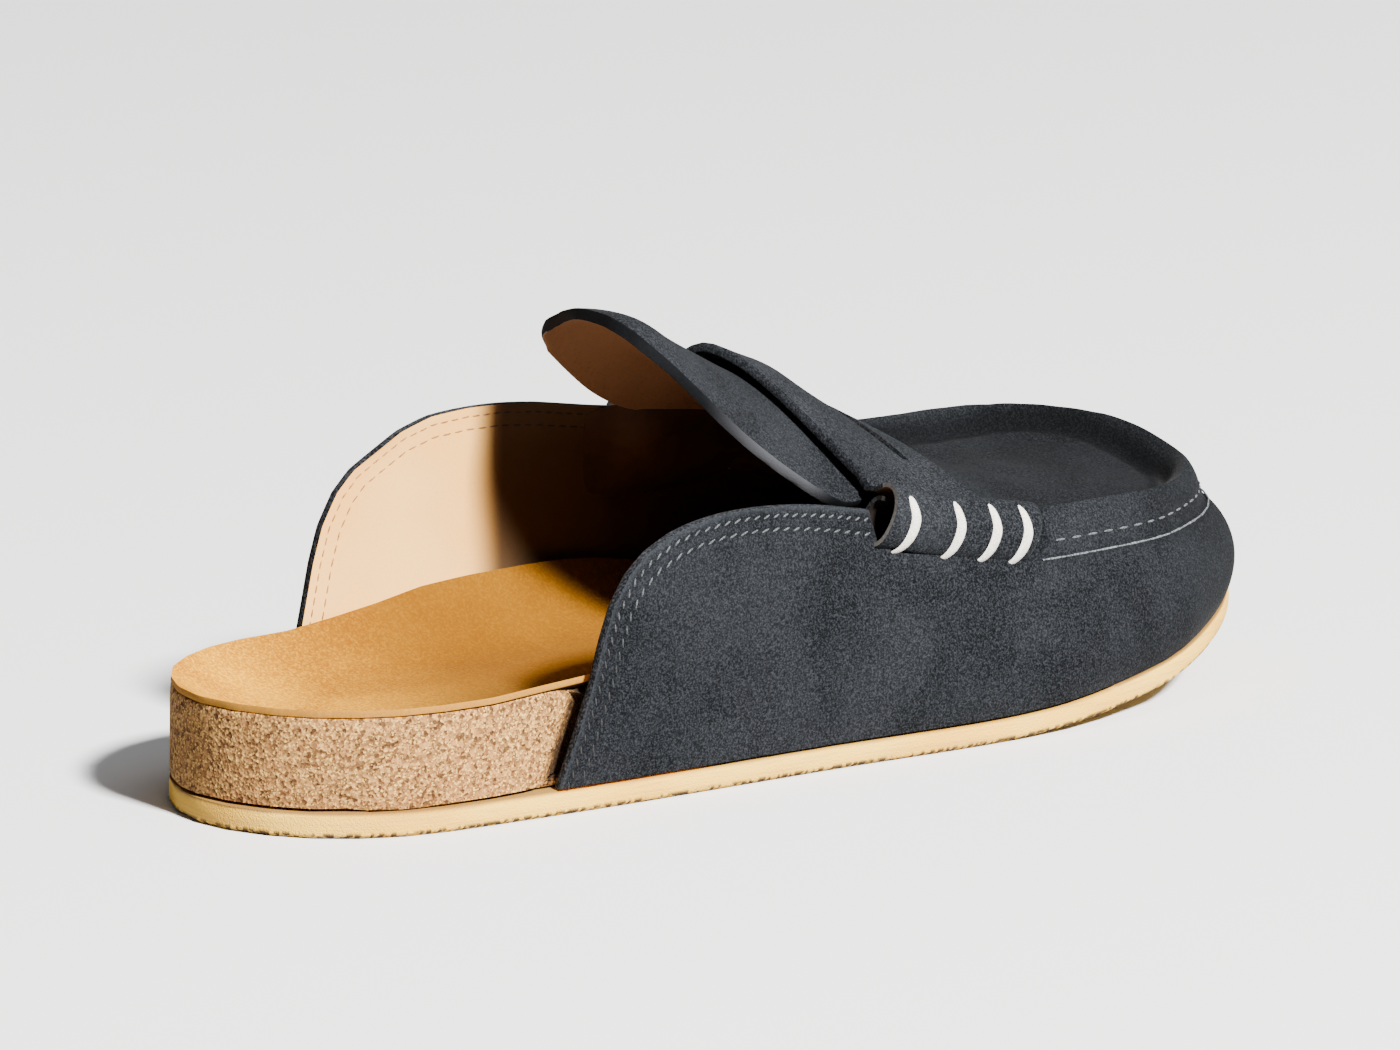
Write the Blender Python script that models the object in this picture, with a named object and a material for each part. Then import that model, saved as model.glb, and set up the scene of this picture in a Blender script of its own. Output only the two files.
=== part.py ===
"""Right-foot loafer mule: crepe outsole, cork footbed, suede sock, moccasin upper, tongue, strap and beef rolls.

Metres, +Z up. +Y runs from heel to toe, +X points to the outer (lateral) side of the foot.
The shoe stands on its outsole, with the origin under the middle of its bounding box.
"""
from math import cos, radians, sin

import bpy
from mathutils import Vector

# Driving dimensions
OUTSOLE_LENGTH = 0.285
BALL_WIDTH = 0.105
COLLAR_HEIGHT = 0.072
FOOTBED_HEIGHT = 0.070
OUTSOLE_THICKNESS = 0.0055
TOE_SPRING = 0.0175
INSOLE_THICKNESS = 0.0015
WALL = 0.0022
TONGUE_THICKNESS = 0.0026
STRAP_THICKNESS = 0.0022
ROLL_RADIUS = 0.0058
ROLL_WALL = 0.0020
DISH_DEPTH = 0.0045
SEAM_STEP = 0.0009
CORK_SETBACK = 0.0020
UPPER_SETBACK = 0.0008
STRAP_LIFT = 0.0018
SLOT_LENGTH = 0.048

# Clearances between neighbouring pieces
SEAT_GAP = 0.0003
WALL_GAP = 0.0005
LAYER_GAP = 0.0006
THROAT_GAP = 0.0004

# Stations are shares of the outsole length. Past the heel and toe centres they fan round those centres.
HEEL_CENTRE = 0.14
TOE_CENTRE = 0.80
SPRING_START = 0.62
HEEL_FAN_STEPS = 6
TOE_FAN_STEPS = 9
WAIST_STEPS = 16

LATERAL = 1
MEDIAL = -1

# Radius from the centre line, as shares of the ball width: station, lateral, medial
OUTLINE = (
    (0.000, 0.380, 0.380),
    (0.047, 0.374, 0.371),
    (0.093, 0.376, 0.374),
    (0.140, 0.391, 0.394),
    (0.200, 0.408, 0.406),
    (0.300, 0.428, 0.388),
    (0.400, 0.440, 0.358),
    (0.500, 0.451, 0.367),
    (0.600, 0.473, 0.431),
    (0.700, 0.485, 0.501),
    (0.750, 0.474, 0.515),
    (0.800, 0.452, 0.517),
    (0.867, 0.437, 0.527),
    (0.933, 0.475, 0.537),
    (0.967, 0.509, 0.540),
    (1.000, 0.537, 0.537),
)

# Footbed heights above the outsole, as shares of the footbed height: station, lateral rim, medial rim, floor
FOOTBED = (
    (0.000, 0.329, 0.329, 0.200),
    (0.160, 0.329, 0.329, 0.193),
    (0.235, 0.343, 0.357, 0.200),
    (0.330, 0.371, 0.429, 0.214),
    (0.420, 0.329, 0.443, 0.221),
    (0.500, 0.271, 0.400, 0.200),
    (0.600, 0.200, 0.257, 0.157),
    (0.700, 0.157, 0.171, 0.121),
    (0.850, 0.136, 0.143, 0.100),
    (1.000, 0.129, 0.129, 0.093),
)

# Where the footbed's cup meets its floor, as a share of the way in from the rim, and the rows modelled
CUP_WIDTH = 0.62
FOOTBED_ROWS = (0.015, 0.08, 0.18, 0.30, 0.44, 0.62)
CORK_SHOULDER = 0.0012

# The cork steps in over this run, from a set distance behind each wing's back edge
CORK_STEP_LEAD = 0.035
CORK_STEP_RUN = 0.030

# Wing sections from the back edge forwards: foot station, top station, top height, top inset.
# Heights are shares of the collar height and insets of the ball width.
WING_LATERAL = (
    (0.235, 0.340, 0.821, 0.008),
    (0.263, 0.361, 0.843, 0.010),
    (0.298, 0.386, 0.857, 0.011),
    (0.340, 0.414, 0.860, 0.014),
    (0.386, 0.446, 0.851, 0.022),
    (0.435, 0.477, 0.834, 0.034),
    (0.484, 0.505, 0.811, 0.048),
    (0.523, 0.526, 0.791, 0.062),
    (0.539, 0.539, 0.780, 0.072),
)
WING_MEDIAL = (
    (0.182, 0.267, 0.910, 0.010),
    (0.214, 0.291, 0.965, 0.008),
    (0.253, 0.319, 1.000, 0.004),
    (0.295, 0.351, 1.012, 0.000),
    (0.340, 0.382, 1.012, -0.002),
    (0.386, 0.414, 1.000, 0.000),
    (0.430, 0.442, 0.982, 0.010),
    (0.466, 0.469, 0.965, 0.024),
    (0.488, 0.488, 0.956, 0.036),
)

# How far a wing section has leaned from its foot to its top: share of its height, share of the lean
WING_LEAN = (
    (0.00, 0.00),
    (0.45, 0.28),
    (0.70, 0.42),
    (0.86, 0.60),
    (0.95, 0.80),
    (1.00, 1.00),
)
WING_ROWS = (0.0, 0.10, 0.26, 0.44, 0.60, 0.74, 0.86, 0.94, 1.0)
WING_FRONT_ROWS = (0.0, 0.12, 0.36, 0.65, 0.86, 0.90, 0.94, 0.97, 1.0)

# Skirt and rim: station, bulge past the outsole, seam inset, seam height, crest inset, crest height
SKIRT_LATERAL = (
    (0.235, 0.003, 0.029, 0.571, 0.048, 0.643),
    (0.500, 0.005, 0.052, 0.550, 0.114, 0.693),
    (0.714, 0.010, 0.057, 0.540, 0.126, 0.683),
    (0.800, 0.013, 0.050, 0.533, 0.112, 0.676),
    (0.867, 0.015, 0.049, 0.529, 0.107, 0.657),
    (0.933, 0.015, 0.051, 0.529, 0.107, 0.643),
    (1.000, 0.014, 0.050, 0.529, 0.104, 0.647),
)
SKIRT_MEDIAL = (
    (0.235, 0.008, 0.048, 0.714, 0.076, 0.857),
    (0.500, 0.011, 0.067, 0.700, 0.114, 0.829),
    (0.670, 0.010, 0.098, 0.664, 0.170, 0.800),
    (0.714, 0.010, 0.102, 0.629, 0.164, 0.771),
    (0.800, 0.011, 0.074, 0.593, 0.132, 0.757),
    (0.867, 0.013, 0.062, 0.572, 0.117, 0.757),
    (0.933, 0.014, 0.055, 0.554, 0.109, 0.728),
    (0.967, 0.014, 0.052, 0.542, 0.106, 0.692),
    (1.000, 0.014, 0.050, 0.529, 0.104, 0.647),
)

# Axis of each beef roll: station, distance from the centre line, height
ROLL_LATERAL = (
    (0.553, 0.400, 0.729),
    (0.607, 0.400, 0.683),
    (0.656, 0.400, 0.651),
    (0.696, 0.400, 0.621),
)
ROLL_MEDIAL = (
    (0.502, 0.338, 0.914),
    (0.554, 0.343, 0.864),
    (0.607, 0.350, 0.807),
    (0.656, 0.357, 0.750),
)

# Ridge of the instep from the tongue's tip to the plug: station, distance towards the medial side, height
RIDGE = (
    (0.380, 0.029, 1.390),
    (0.395, 0.029, 1.379),
    (0.419, 0.036, 1.346),
    (0.441, 0.042, 1.300),
    (0.467, 0.055, 1.242),
    (0.491, 0.076, 1.194),
    (0.512, 0.095, 1.150),
    (0.533, 0.110, 1.108),
    (0.560, 0.114, 1.063),
    (0.582, 0.114, 1.020),
    (0.604, 0.114, 0.964),
    (0.632, 0.114, 0.905),
    (0.656, 0.110, 0.852),
    (0.684, 0.090, 0.786),
    (0.712, 0.067, 0.743),
    (0.754, 0.033, 0.700),
    (0.800, 0.000, 0.669),
)

# Edges of the free tongue: station, lateral distance and height, medial distance and height
TONGUE_EDGES = (
    (0.380, 0.085, 1.360, 0.143, 1.336),
    (0.383, 0.143, 1.330, 0.196, 1.303),
    (0.390, 0.184, 1.288, 0.229, 1.262),
    (0.404, 0.219, 1.229, 0.250, 1.211),
    (0.424, 0.247, 1.147, 0.266, 1.143),
    (0.447, 0.275, 1.047, 0.279, 1.064),
    (0.470, 0.301, 0.961, 0.288, 1.011),
    (0.491, 0.320, 0.894, 0.294, 0.974),
    (0.512, 0.333, 0.834, 0.299, 0.946),
    (0.533, 0.343, 0.783, 0.303, 0.920),
)

# Edges of the strap, from its lateral end to its medial end: share across, front station, back station
STRAP_EDGES = (
    (0.00, 0.662, 0.556),
    (0.25, 0.659, 0.540),
    (0.50, 0.656, 0.530),
    (0.75, 0.653, 0.520),
    (1.00, 0.646, 0.506),
)
STRAP_ROWS = (0.0, 0.14, 0.29, 0.29, 0.50, 0.75, 1.0)
STRAP_COLUMNS = 20
SLOT_ROW = 2
SLOT_END_HALF = 0.020
SLOT_MIDDLE_HALF = 0.060

# The plug starts at the throat, under the strap, and dips into its dish past the strap's front edge
THROAT = 0.604
DISH_FADE = (0.667, 0.723)
DISH_RECOVERY = 0.8
CROWN_POWER = 1.8
TONGUE_COLUMNS = 12
TONGUE_TAPER = 0.02

# Sections of the upper forward of its wings: behind the throat on each side, then from the throat to the toe
LATERAL_SECTIONS = (0.553, 0.5785)
MEDIAL_SECTIONS = (0.502, 0.526, 0.553, 0.580)
PLUG_SECTIONS = (0.604, 0.630, 0.656, 0.669, 0.696, 0.714, 0.742, 0.771)

# Beef rolls: sides round, length of the rounded nose as a share of the outsole, and its two radii
ROLL_SIDES = 14
NOSE_LENGTH = 0.012
NOSE_TIP = 0.55
NOSE_SHOULDER = 0.93
OUTSIDE_STEPS = 6
BORE_STEPS = 4

# The hollow under a beef roll is half an octagon. Its top corner turns from back to front.
COVE_HALF_CORNER = 22.5
CREST_ANGLES = (160, 140)

# Depths of the rolled rim's rows behind its crest, then shares of what is left to the centre line
RIM_ROWS = (0.0025, 0.0050, 0.0075, 0.0110)
PLUG_ROWS = (0.35, 0.68)


def column_value(table, column, key, level_ends=False):
    """Smooth value of a table's column, without overshoot between its rows."""
    keys = [row[0] for row in table]
    values = [row[column] for row in table]
    if key <= keys[0]:
        return values[0]
    if key >= keys[-1]:
        return values[-1]
    slopes = [(values[i + 1] - values[i]) / (keys[i + 1] - keys[i]) for i in range(len(keys) - 1)]
    tangents = [0.0 if level_ends else slopes[0]]
    for before, after in zip(slopes, slopes[1:]):
        flat = before * after <= 0.0
        tangents.append(0.0 if flat else 2.0 * before * after / (before + after))
    tangents.append(0.0 if level_ends else slopes[-1])
    i = max(k for k in range(len(keys) - 1) if keys[k] <= key)
    span = keys[i + 1] - keys[i]
    t = (key - keys[i]) / span
    start = (1 + 2 * t) * (1 - t) ** 2 * values[i] + t * (1 - t) ** 2 * span * tangents[i]
    end = t * t * (3 - 2 * t) * values[i + 1] - t * t * (1 - t) * span * tangents[i + 1]
    return start + end


def ease(share):
    """Smooth step from 0 to 1."""
    share = min(max(share, 0.0), 1.0)
    return share * share * (3 - 2 * share)


def mix(start, end, share):
    return start + (end - start) * share


def ray(side, station):
    """Start on the centre line and outward direction of a section."""
    if station < HEEL_CENTRE:
        angle = radians(90) * (1 - station / HEEL_CENTRE)
        return HEEL_CENTRE * OUTSOLE_LENGTH, Vector((side * cos(angle), -sin(angle), 0))
    if station > TOE_CENTRE:
        angle = radians(90) * (station - TOE_CENTRE) / (1 - TOE_CENTRE)
        return TOE_CENTRE * OUTSOLE_LENGTH, Vector((side * cos(angle), sin(angle), 0))
    return station * OUTSOLE_LENGTH, Vector((side, 0, 0))


def outline_radius(side, station):
    column = 1 if side == LATERAL else 2
    return BALL_WIDTH * column_value(OUTLINE, column, station, level_ends=True)


def ray_point(side, station, radius, height=0.0):
    start, direction = ray(side, station)
    return Vector((0, start, height)) + direction * radius


def ground(y):
    """Height of the outsole's underside: flat from heel to forefoot, then rising to the toe."""
    share = (y / OUTSOLE_LENGTH - SPRING_START) / (1 - SPRING_START)
    return TOE_SPRING * max(share, 0.0) ** 2


def plate_top(y):
    return ground(y) + OUTSOLE_THICKNESS


def closed_solid(name, top, bottom, faces, colour, roughness):
    """One closed body from two sheets of the same faces, joined along every free edge."""
    count = len(top)
    edges = {}
    for face in faces:
        for a, b in zip(face, face[1:] + face[:1]):
            edges[(a, b)] = True
    shell = [tuple(face) for face in faces]
    shell += [tuple(count + v for v in reversed(face)) for face in faces]
    shell += [(b, a, count + a, count + b) for a, b in edges if (b, a) not in edges]
    mesh = bpy.data.meshes.new(name)
    mesh.from_pydata([tuple(p) for p in top + bottom], [], shell)
    mesh.validate()
    mesh.shade_smooth()
    mesh.set_sharp_from_angle(angle=radians(40))
    mesh.materials.append(finish(name, colour, roughness))
    piece = bpy.data.objects.new(name, mesh)
    bpy.context.collection.objects.link(piece)
    return piece


def finish(name, colour, roughness):
    material = bpy.data.materials.new(name)
    material.use_nodes = True
    shader = material.node_tree.nodes["Principled BSDF"]
    shader.inputs["Base Color"].default_value = (*colour, 1.0)
    shader.inputs["Roughness"].default_value = roughness
    shader.inputs["Metallic"].default_value = 0.0
    return material


def sole_stations():
    heel = [HEEL_CENTRE * i / HEEL_FAN_STEPS for i in range(HEEL_FAN_STEPS)]
    span = TOE_CENTRE - HEEL_CENTRE
    waist = [HEEL_CENTRE + span * i / WAIST_STEPS for i in range(WAIST_STEPS)]
    return heel + waist + toe_stations()


def toe_stations():
    return [TOE_CENTRE + (1 - TOE_CENTRE) * i / TOE_FAN_STEPS for i in range(TOE_FAN_STEPS + 1)]


def sole_piece(name, rows, place, colour, roughness):
    """A sole layer: rows run from its edge in to the centre line, place() gives a row's top and bottom points."""
    stations = sole_stations()
    ring = [(LATERAL, s) for s in stations] + [(MEDIAL, s) for s in reversed(stations[1:-1])]
    top = []
    bottom = []
    for side, station in ring:
        for row in range(rows):
            upper_point, lower_point = place(side, station, row)
            top.append(upper_point)
            bottom.append(lower_point)
    spine = {}
    for side, station in ring:
        start = round(ray(side, station)[0], 6)
        if start not in spine:
            spine[start] = len(top)
            upper_point, lower_point = place(side, station, rows)
            top.append(upper_point)
            bottom.append(lower_point)
    middle = [spine[round(ray(side, station)[0], 6)] for side, station in ring]
    faces = []
    for i in range(len(ring)):
        k = (i + 1) % len(ring)
        for row in range(rows - 1):
            faces.append([i * rows + row, k * rows + row, k * rows + row + 1, i * rows + row + 1])
        last = [i * rows + rows - 1, k * rows + rows - 1, middle[k], middle[i]]
        faces.append(last[:3] if middle[i] == middle[k] else last)
    return closed_solid(name, top, bottom, faces, colour, roughness)


def outsole():
    """Plate with a softly rounded side and a small chamfer all round its underside."""
    top_rows = ((0.0, 0.5, 0.0), (0.0005, 1.0, 0.0), (0.0, 1.0, 0.10), (0.0, 1.0, 0.55))
    bottom_rows = ((0.0003, 0.15, 0.0), (0.0013, 0.0, 0.0), (0.0, 0.0, 0.10), (0.0, 0.0, 0.55))

    def point(side, station, inset, level, share):
        radius = outline_radius(side, station) * (1 - share) - inset
        place = ray_point(side, station, radius)
        place.z = ground(place.y) + level * OUTSOLE_THICKNESS
        return place

    def place(side, station, row):
        if row == len(top_rows):
            return point(side, station, 0, 1, 1), point(side, station, 0, 0, 1)
        return tuple(point(side, station, rows[row][0], rows[row][1], rows[row][2])
                     for rows in (top_rows, bottom_rows))

    return sole_piece("outsole", len(top_rows), place, (0.80, 0.62, 0.36), 0.75)


def cork_inset(side, station):
    """The cork is set back from the outsole, and further where the upper's wall stands outside it."""
    wing = WING_LATERAL if side == LATERAL else WING_MEDIAL
    step_start = wing[0][0] - CORK_STEP_LEAD
    share = ease((station - step_start) / CORK_STEP_RUN)
    return mix(CORK_SETBACK, UPPER_SETBACK + WALL + WALL_GAP, share)


def footbed_surface(side, station, share):
    """Top of the sock: share 0 at its rim and 1 on the centre line. The cup falls from the rim to the floor."""
    radius = (outline_radius(side, station) - cork_inset(side, station)) * (1 - share)
    point = ray_point(side, station, radius)
    column = 1 if side == LATERAL else 2
    rim = FOOTBED_HEIGHT * column_value(FOOTBED, column, station)
    floor = FOOTBED_HEIGHT * column_value(FOOTBED, 3, point.y / OUTSOLE_LENGTH)
    cup = max(1 - share / CUP_WIDTH, 0.0) ** 2
    point.z = plate_top(point.y) + mix(floor, rim, cup)
    return point


def midsole_cork():
    """Cork core: upright sides on the outsole, cupped top under the sock."""
    rows = len(FOOTBED_ROWS) + 1
    sink = Vector((0, 0, INSOLE_THICKNESS + SEAT_GAP))

    def place(side, station, row):
        share = 0.0 if row == 0 else (FOOTBED_ROWS + (1.0,))[row - 1]
        top = footbed_surface(side, station, share) - sink
        if row == 0:
            top.z -= CORK_SHOULDER
        bottom = top.copy()
        bottom.z = plate_top(bottom.y) + SEAT_GAP
        return top, bottom

    return sole_piece("midsole_cork", rows, place, (0.42, 0.28, 0.15), 0.9)


def insole():
    """Suede sock of even thickness over the whole footbed."""
    rows = len(FOOTBED_ROWS)
    thickness = Vector((0, 0, INSOLE_THICKNESS))

    def place(side, station, row):
        top = footbed_surface(side, station, (FOOTBED_ROWS + (1.0,))[row])
        return top, top - thickness

    return sole_piece("insole", rows, place, (0.62, 0.38, 0.13), 0.9)


def roll_axis(side, station):
    """Distance from the centre line and height of a beef roll's axis."""
    table = ROLL_LATERAL if side == LATERAL else ROLL_MEDIAL
    return BALL_WIDTH * column_value(table, 1, station), COLLAR_HEIGHT * column_value(table, 2, station)


def roll_span(side):
    table = ROLL_LATERAL if side == LATERAL else ROLL_MEDIAL
    return table[0][0], table[-1][0]


def cove_radius():
    """The cove round a roll is a polygon, so its corners stand further off than its clearance."""
    return (ROLL_RADIUS + SEAT_GAP) / cos(radians(COVE_HALF_CORNER))


def cove_point(side, station, angle):
    distance, height = roll_axis(side, station)
    reach = cove_radius()
    return distance + reach * cos(radians(angle)), height + reach * sin(radians(angle))


def crest_angle(side, station):
    start, end = roll_span(side)
    return mix(*CREST_ANGLES, ease((station - start) / (end - start)))


def section_state(side, station):
    """Whether a section passes behind a beef roll."""
    start, end = roll_span(side)
    return start - 0.001 <= station <= end + 0.001


def foot_height(y):
    return plate_top(y) + SEAT_GAP


def skirt_section(side, station):
    """Radius, height and inward step of the rows from the upper's foot to its rim's crest."""
    radius = outline_radius(side, station)
    table = SKIRT_LATERAL if side == LATERAL else SKIRT_MEDIAL
    bulge, seam_in, seam_z, crest_in, crest_z = (column_value(table, c, station) for c in range(1, 6))
    foot = ray_point(side, station, radius - UPPER_SETBACK)
    base = foot_height(foot.y)
    widest = radius + BALL_WIDTH * bulge
    if section_state(side, station):
        seam = cove_point(side, station, -50)
        upper_rows = [
            (*cove_point(side, station, -90), 0.0, -1.0),
            (*cove_point(side, station, -135), -0.7, -0.7),
            (*cove_point(side, station, 180), -0.95, -0.8),
            (*cove_point(side, station, crest_angle(side, station)), -0.9, -1.0),
        ]
        seam_row = (*seam, -0.8, -0.6)
    else:
        seam = (radius - BALL_WIDTH * seam_in, COLLAR_HEIGHT * seam_z)
        crest = (radius - BALL_WIDTH * crest_in, COLLAR_HEIGHT * crest_z)
        inner = seam[0] - SEAM_STEP
        rise = crest[1] - seam[1]
        upper_rows = [
            (inner, seam[1] + 0.02 * rise, -0.9, -0.5),
            (mix(inner, crest[0], 0.22), seam[1] + 0.45 * rise, -0.85, -0.5),
            (mix(inner, crest[0], 0.56), seam[1] + 0.85 * rise, -0.7, -0.75),
            (crest[0], crest[1], -0.35, -1.0),
        ]
        seam_row = (*seam, -0.9, -0.4)
    rise = seam[1] - base
    rows = [
        (radius - UPPER_SETBACK, base, -1.0, 0.0),
        (mix(radius - UPPER_SETBACK, widest, 0.70), base + 0.14 * rise, -1.0, 0.0),
        (widest, base + 0.42 * rise, -1.0, 0.0),
        (mix(widest, seam[0], 0.38), base + 0.76 * rise, -0.98, -0.15),
        seam_row,
    ]
    return rows + upper_rows


def wing_column(side, forward, foot_station, top_station, top_height, top_inset):
    """Outer and inner points of a wing section. Its rows shift towards the skirt's rows as forward nears 1."""
    table = SKIRT_LATERAL if side == LATERAL else SKIRT_MEDIAL
    base = foot_height(foot_station * OUTSOLE_LENGTH)
    outer = []
    inner = []
    for back_share, front_share in zip(WING_ROWS, WING_FRONT_ROWS):
        share = mix(back_share, front_share, ease(forward))
        station = mix(foot_station, top_station, column_value(WING_LEAN, 1, share))
        bulge = BALL_WIDTH * column_value(table, 1, station)
        inset = UPPER_SETBACK * (1 - share) ** 6 + BALL_WIDTH * top_inset * share ** 4
        inset -= bulge * 4 * share * (1 - share)
        height = mix(base, COLLAR_HEIGHT * top_height, share)
        radius = outline_radius(side, station) - inset
        outer.append(ray_point(side, station, radius, height))
        inner.append(ray_point(side, station, radius - WALL, height))
    return outer, inner


def skirt_column(side, station):
    outer = []
    inner = []
    for radius, height, step_in, step_down in skirt_section(side, station):
        outer.append(ray_point(side, station, radius, height))
        inner.append(ray_point(side, station, radius + WALL * step_in, height + WALL * step_down))
    return outer, inner


def instep_edge(side, station):
    """Distance and height of the instep's edge: the rim's crest, or the free tongue's edge behind the rolls."""
    if station >= roll_span(side)[0]:
        crest = skirt_section(side, station)[-1]
        return crest[0], crest[1]
    first = 1 if side == LATERAL else 3
    return (BALL_WIDTH * column_value(TONGUE_EDGES, first, station),
            COLLAR_HEIGHT * column_value(TONGUE_EDGES, first + 1, station))


def instep_height(x, station):
    """Height of the instep at a point of a straight section."""
    ridge_x = -BALL_WIDTH * column_value(RIDGE, 1, station)
    ridge_z = COLLAR_HEIGHT * column_value(RIDGE, 2, station)
    side = LATERAL if x > ridge_x else MEDIAL
    edge_distance, edge_z = instep_edge(side, station)
    share = abs(x - ridge_x) / abs(side * edge_distance - ridge_x)
    return mix(ridge_z, edge_z, share ** CROWN_POWER)


def dish(side, station, depth_in, reach):
    """How far the plug lies below the instep, a given distance in from the rim's crest."""
    fade = ease((station - DISH_FADE[0]) / (DISH_FADE[1] - DISH_FADE[0]))
    edge = RIM_ROWS[2]
    fall = ease(depth_in / edge)
    rise = DISH_RECOVERY * ease((depth_in - edge) / (reach - edge))
    return DISH_DEPTH * fade * fall * (1 - rise)


def plug_column(side, station):
    """Points from behind the rim's crest to just short of the centre line."""
    crest = skirt_section(side, station)[-1]
    reach = crest[0]
    rest = reach - RIM_ROWS[-1]
    depths = list(RIM_ROWS) + [RIM_ROWS[-1] + rest * share for share in PLUG_ROWS]
    return [plug_point(side, station, depth, reach, crest[1]) for depth in depths]


def plug_point(side, station, depth, reach, crest_z):
    radius = reach - depth
    point = ray_point(side, station, radius)
    if station > TOE_CENTRE:
        ridge_z = COLLAR_HEIGHT * column_value(RIDGE, 2, TOE_CENTRE)
        point.z = mix(ridge_z, crest_z, (radius / reach) ** CROWN_POWER)
    else:
        point.z = instep_height(point.x, station)
    point.z -= dish(side, station, depth, reach)
    return point


def upper_columns(side):
    """Sections from the wing's back edge to the toe: leaning wing sections, then upright ones."""
    wing = WING_LATERAL if side == LATERAL else WING_MEDIAL
    columns = [wing_column(side, i / (len(wing) - 1), *row) for i, row in enumerate(wing)]
    upright = LATERAL_SECTIONS if side == LATERAL else MEDIAL_SECTIONS
    stations = list(upright) + list(PLUG_SECTIONS) + toe_stations()
    columns += [skirt_column(side, s) for s in stations]
    return columns, len(wing) + len(upright), stations[len(upright):]


def upper():
    """Moccasin shell: wings, skirt, rolled rim and dished plug in one wall, open behind, below and at the throat."""
    outer = []
    inner = []
    columns = []
    spine = {}

    def add(outer_point, inner_point):
        outer.append(outer_point)
        inner.append(inner_point)
        return len(outer) - 1

    def middle(station):
        start = round(ray(LATERAL, station)[0], 6)
        if start not in spine:
            ridge_station = min(station, TOE_CENTRE)
            reach = skirt_section(LATERAL, ridge_station)[-1][0]
            height = instep_height(0.0, ridge_station) - dish(LATERAL, ridge_station, reach, reach)
            point = Vector((0, start, height))
            spine[start] = add(point, point - Vector((0, 0, WALL)))
        return spine[start]

    for side in (LATERAL, MEDIAL):
        sections, behind_throat, plug_stations = upper_columns(side)
        rows = []
        for index, (outer_points, inner_points) in enumerate(sections):
            column = [add(a, b) for a, b in zip(outer_points, inner_points)]
            if index >= behind_throat:
                station = plug_stations[index - behind_throat]
                column += [add(p, p - Vector((0, 0, WALL))) for p in plug_column(side, station)]
                column.append(middle(station))
            rows.append(column)
        if side == LATERAL:
            columns = rows
        else:
            columns += list(reversed(rows[:-1]))
    faces = []
    for left, right in zip(columns, columns[1:]):
        for row in range(min(len(left), len(right)) - 1):
            face = [left[row], right[row], right[row + 1], left[row + 1]]
            faces.append(face[:3] if face[2] == face[3] else face)
    return closed_solid("upper", outer, inner, faces, (0.045, 0.055, 0.070), 0.95)


def sheet_piece(name, grid, holes, thickness, colour, roughness):
    """A bent sheet with its thickness below a grid of points. Holes are cells left open."""
    rows = len(grid)
    width = len(grid[0])
    top = [point for row in grid for point in row]
    bottom = []
    for i in range(rows):
        for k in range(width):
            along = grid[min(i + 1, rows - 1)][k] - grid[max(i - 1, 0)][k]
            across = grid[i][min(k + 1, width - 1)] - grid[i][max(k - 1, 0)]
            normal = across.cross(along).normalized()
            if normal.z < 0:
                normal.negate()
            bottom.append(grid[i][k] - normal * thickness)
    faces = []
    for i in range(rows - 1):
        for k in range(width - 1):
            if (i, k) not in holes:
                corner = i * width + k
                faces.append([corner, corner + 1, corner + width + 1, corner + width])
    return closed_solid(name, top, bottom, faces, colour, roughness)


def tongue():
    """Flap that carries the plug's line up and back out of the throat, with rounded corners."""
    joint = THROAT - THROAT_GAP / OUTSOLE_LENGTH
    free = [row[0] for row in reversed(TONGUE_EDGES)]
    stations = [joint, mix(joint, free[0], 0.35), mix(joint, free[0], 0.70)] + free
    grid = []
    for station in reversed(stations):
        lateral = instep_edge(LATERAL, station)[0]
        medial = instep_edge(MEDIAL, station)[0]
        if station > roll_span(LATERAL)[0]:
            lateral -= WALL + LAYER_GAP
        if station > roll_span(MEDIAL)[0]:
            medial -= (WALL + LAYER_GAP) * ease((station - roll_span(MEDIAL)[0]) / TONGUE_TAPER)
        row = []
        for k in range(TONGUE_COLUMNS + 1):
            x = mix(-medial, lateral, k / TONGUE_COLUMNS)
            row.append(Vector((x, station * OUTSOLE_LENGTH, instep_height(x, station))))
        grid.append(row)
    return sheet_piece("tongue", grid, (), TONGUE_THICKNESS, (0.040, 0.048, 0.060), 0.9)


def saddle_strap():
    """Strap over the instep, lifted off the tongue along its back edge, with a slit along its front third."""
    columns = []
    slot_cells = set()
    for k in range(STRAP_COLUMNS + 1):
        share = 1 - k / STRAP_COLUMNS
        front = column_value(STRAP_EDGES, 1, share)
        back = column_value(STRAP_EDGES, 2, share)
        middle_x = strap_x(share, mix(front, back, STRAP_ROWS[SLOT_ROW]))
        inside = 1 - (2 * middle_x / SLOT_LENGTH) ** 2
        half = mix(SLOT_END_HALF, SLOT_MIDDLE_HALF, max(inside, 0.0))
        column = []
        for row, level in enumerate(STRAP_ROWS):
            if row == SLOT_ROW:
                level -= half
            if row == SLOT_ROW + 1:
                level += half
            station = mix(front, back, level)
            x = strap_x(share, station)
            lift = LAYER_GAP + STRAP_THICKNESS + STRAP_LIFT * level ** 2
            column.append(Vector((x, station * OUTSOLE_LENGTH, instep_height(x, station) + lift)))
        columns.append((middle_x, column))
    grid = [[column[row] for _, column in columns] for row in reversed(range(len(STRAP_ROWS)))]
    slot_cell_row = len(STRAP_ROWS) - 2 - SLOT_ROW
    for k in range(STRAP_COLUMNS):
        if abs(columns[k][0] + columns[k + 1][0]) < SLOT_LENGTH:
            slot_cells.add((slot_cell_row, k))
    return sheet_piece("saddle_strap", grid, slot_cells, STRAP_THICKNESS, (0.050, 0.062, 0.078), 0.95)


def strap_x(share, station):
    lateral = instep_edge(LATERAL, station)[0]
    medial = instep_edge(MEDIAL, station)[0]
    return mix(lateral, -medial, share)


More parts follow.
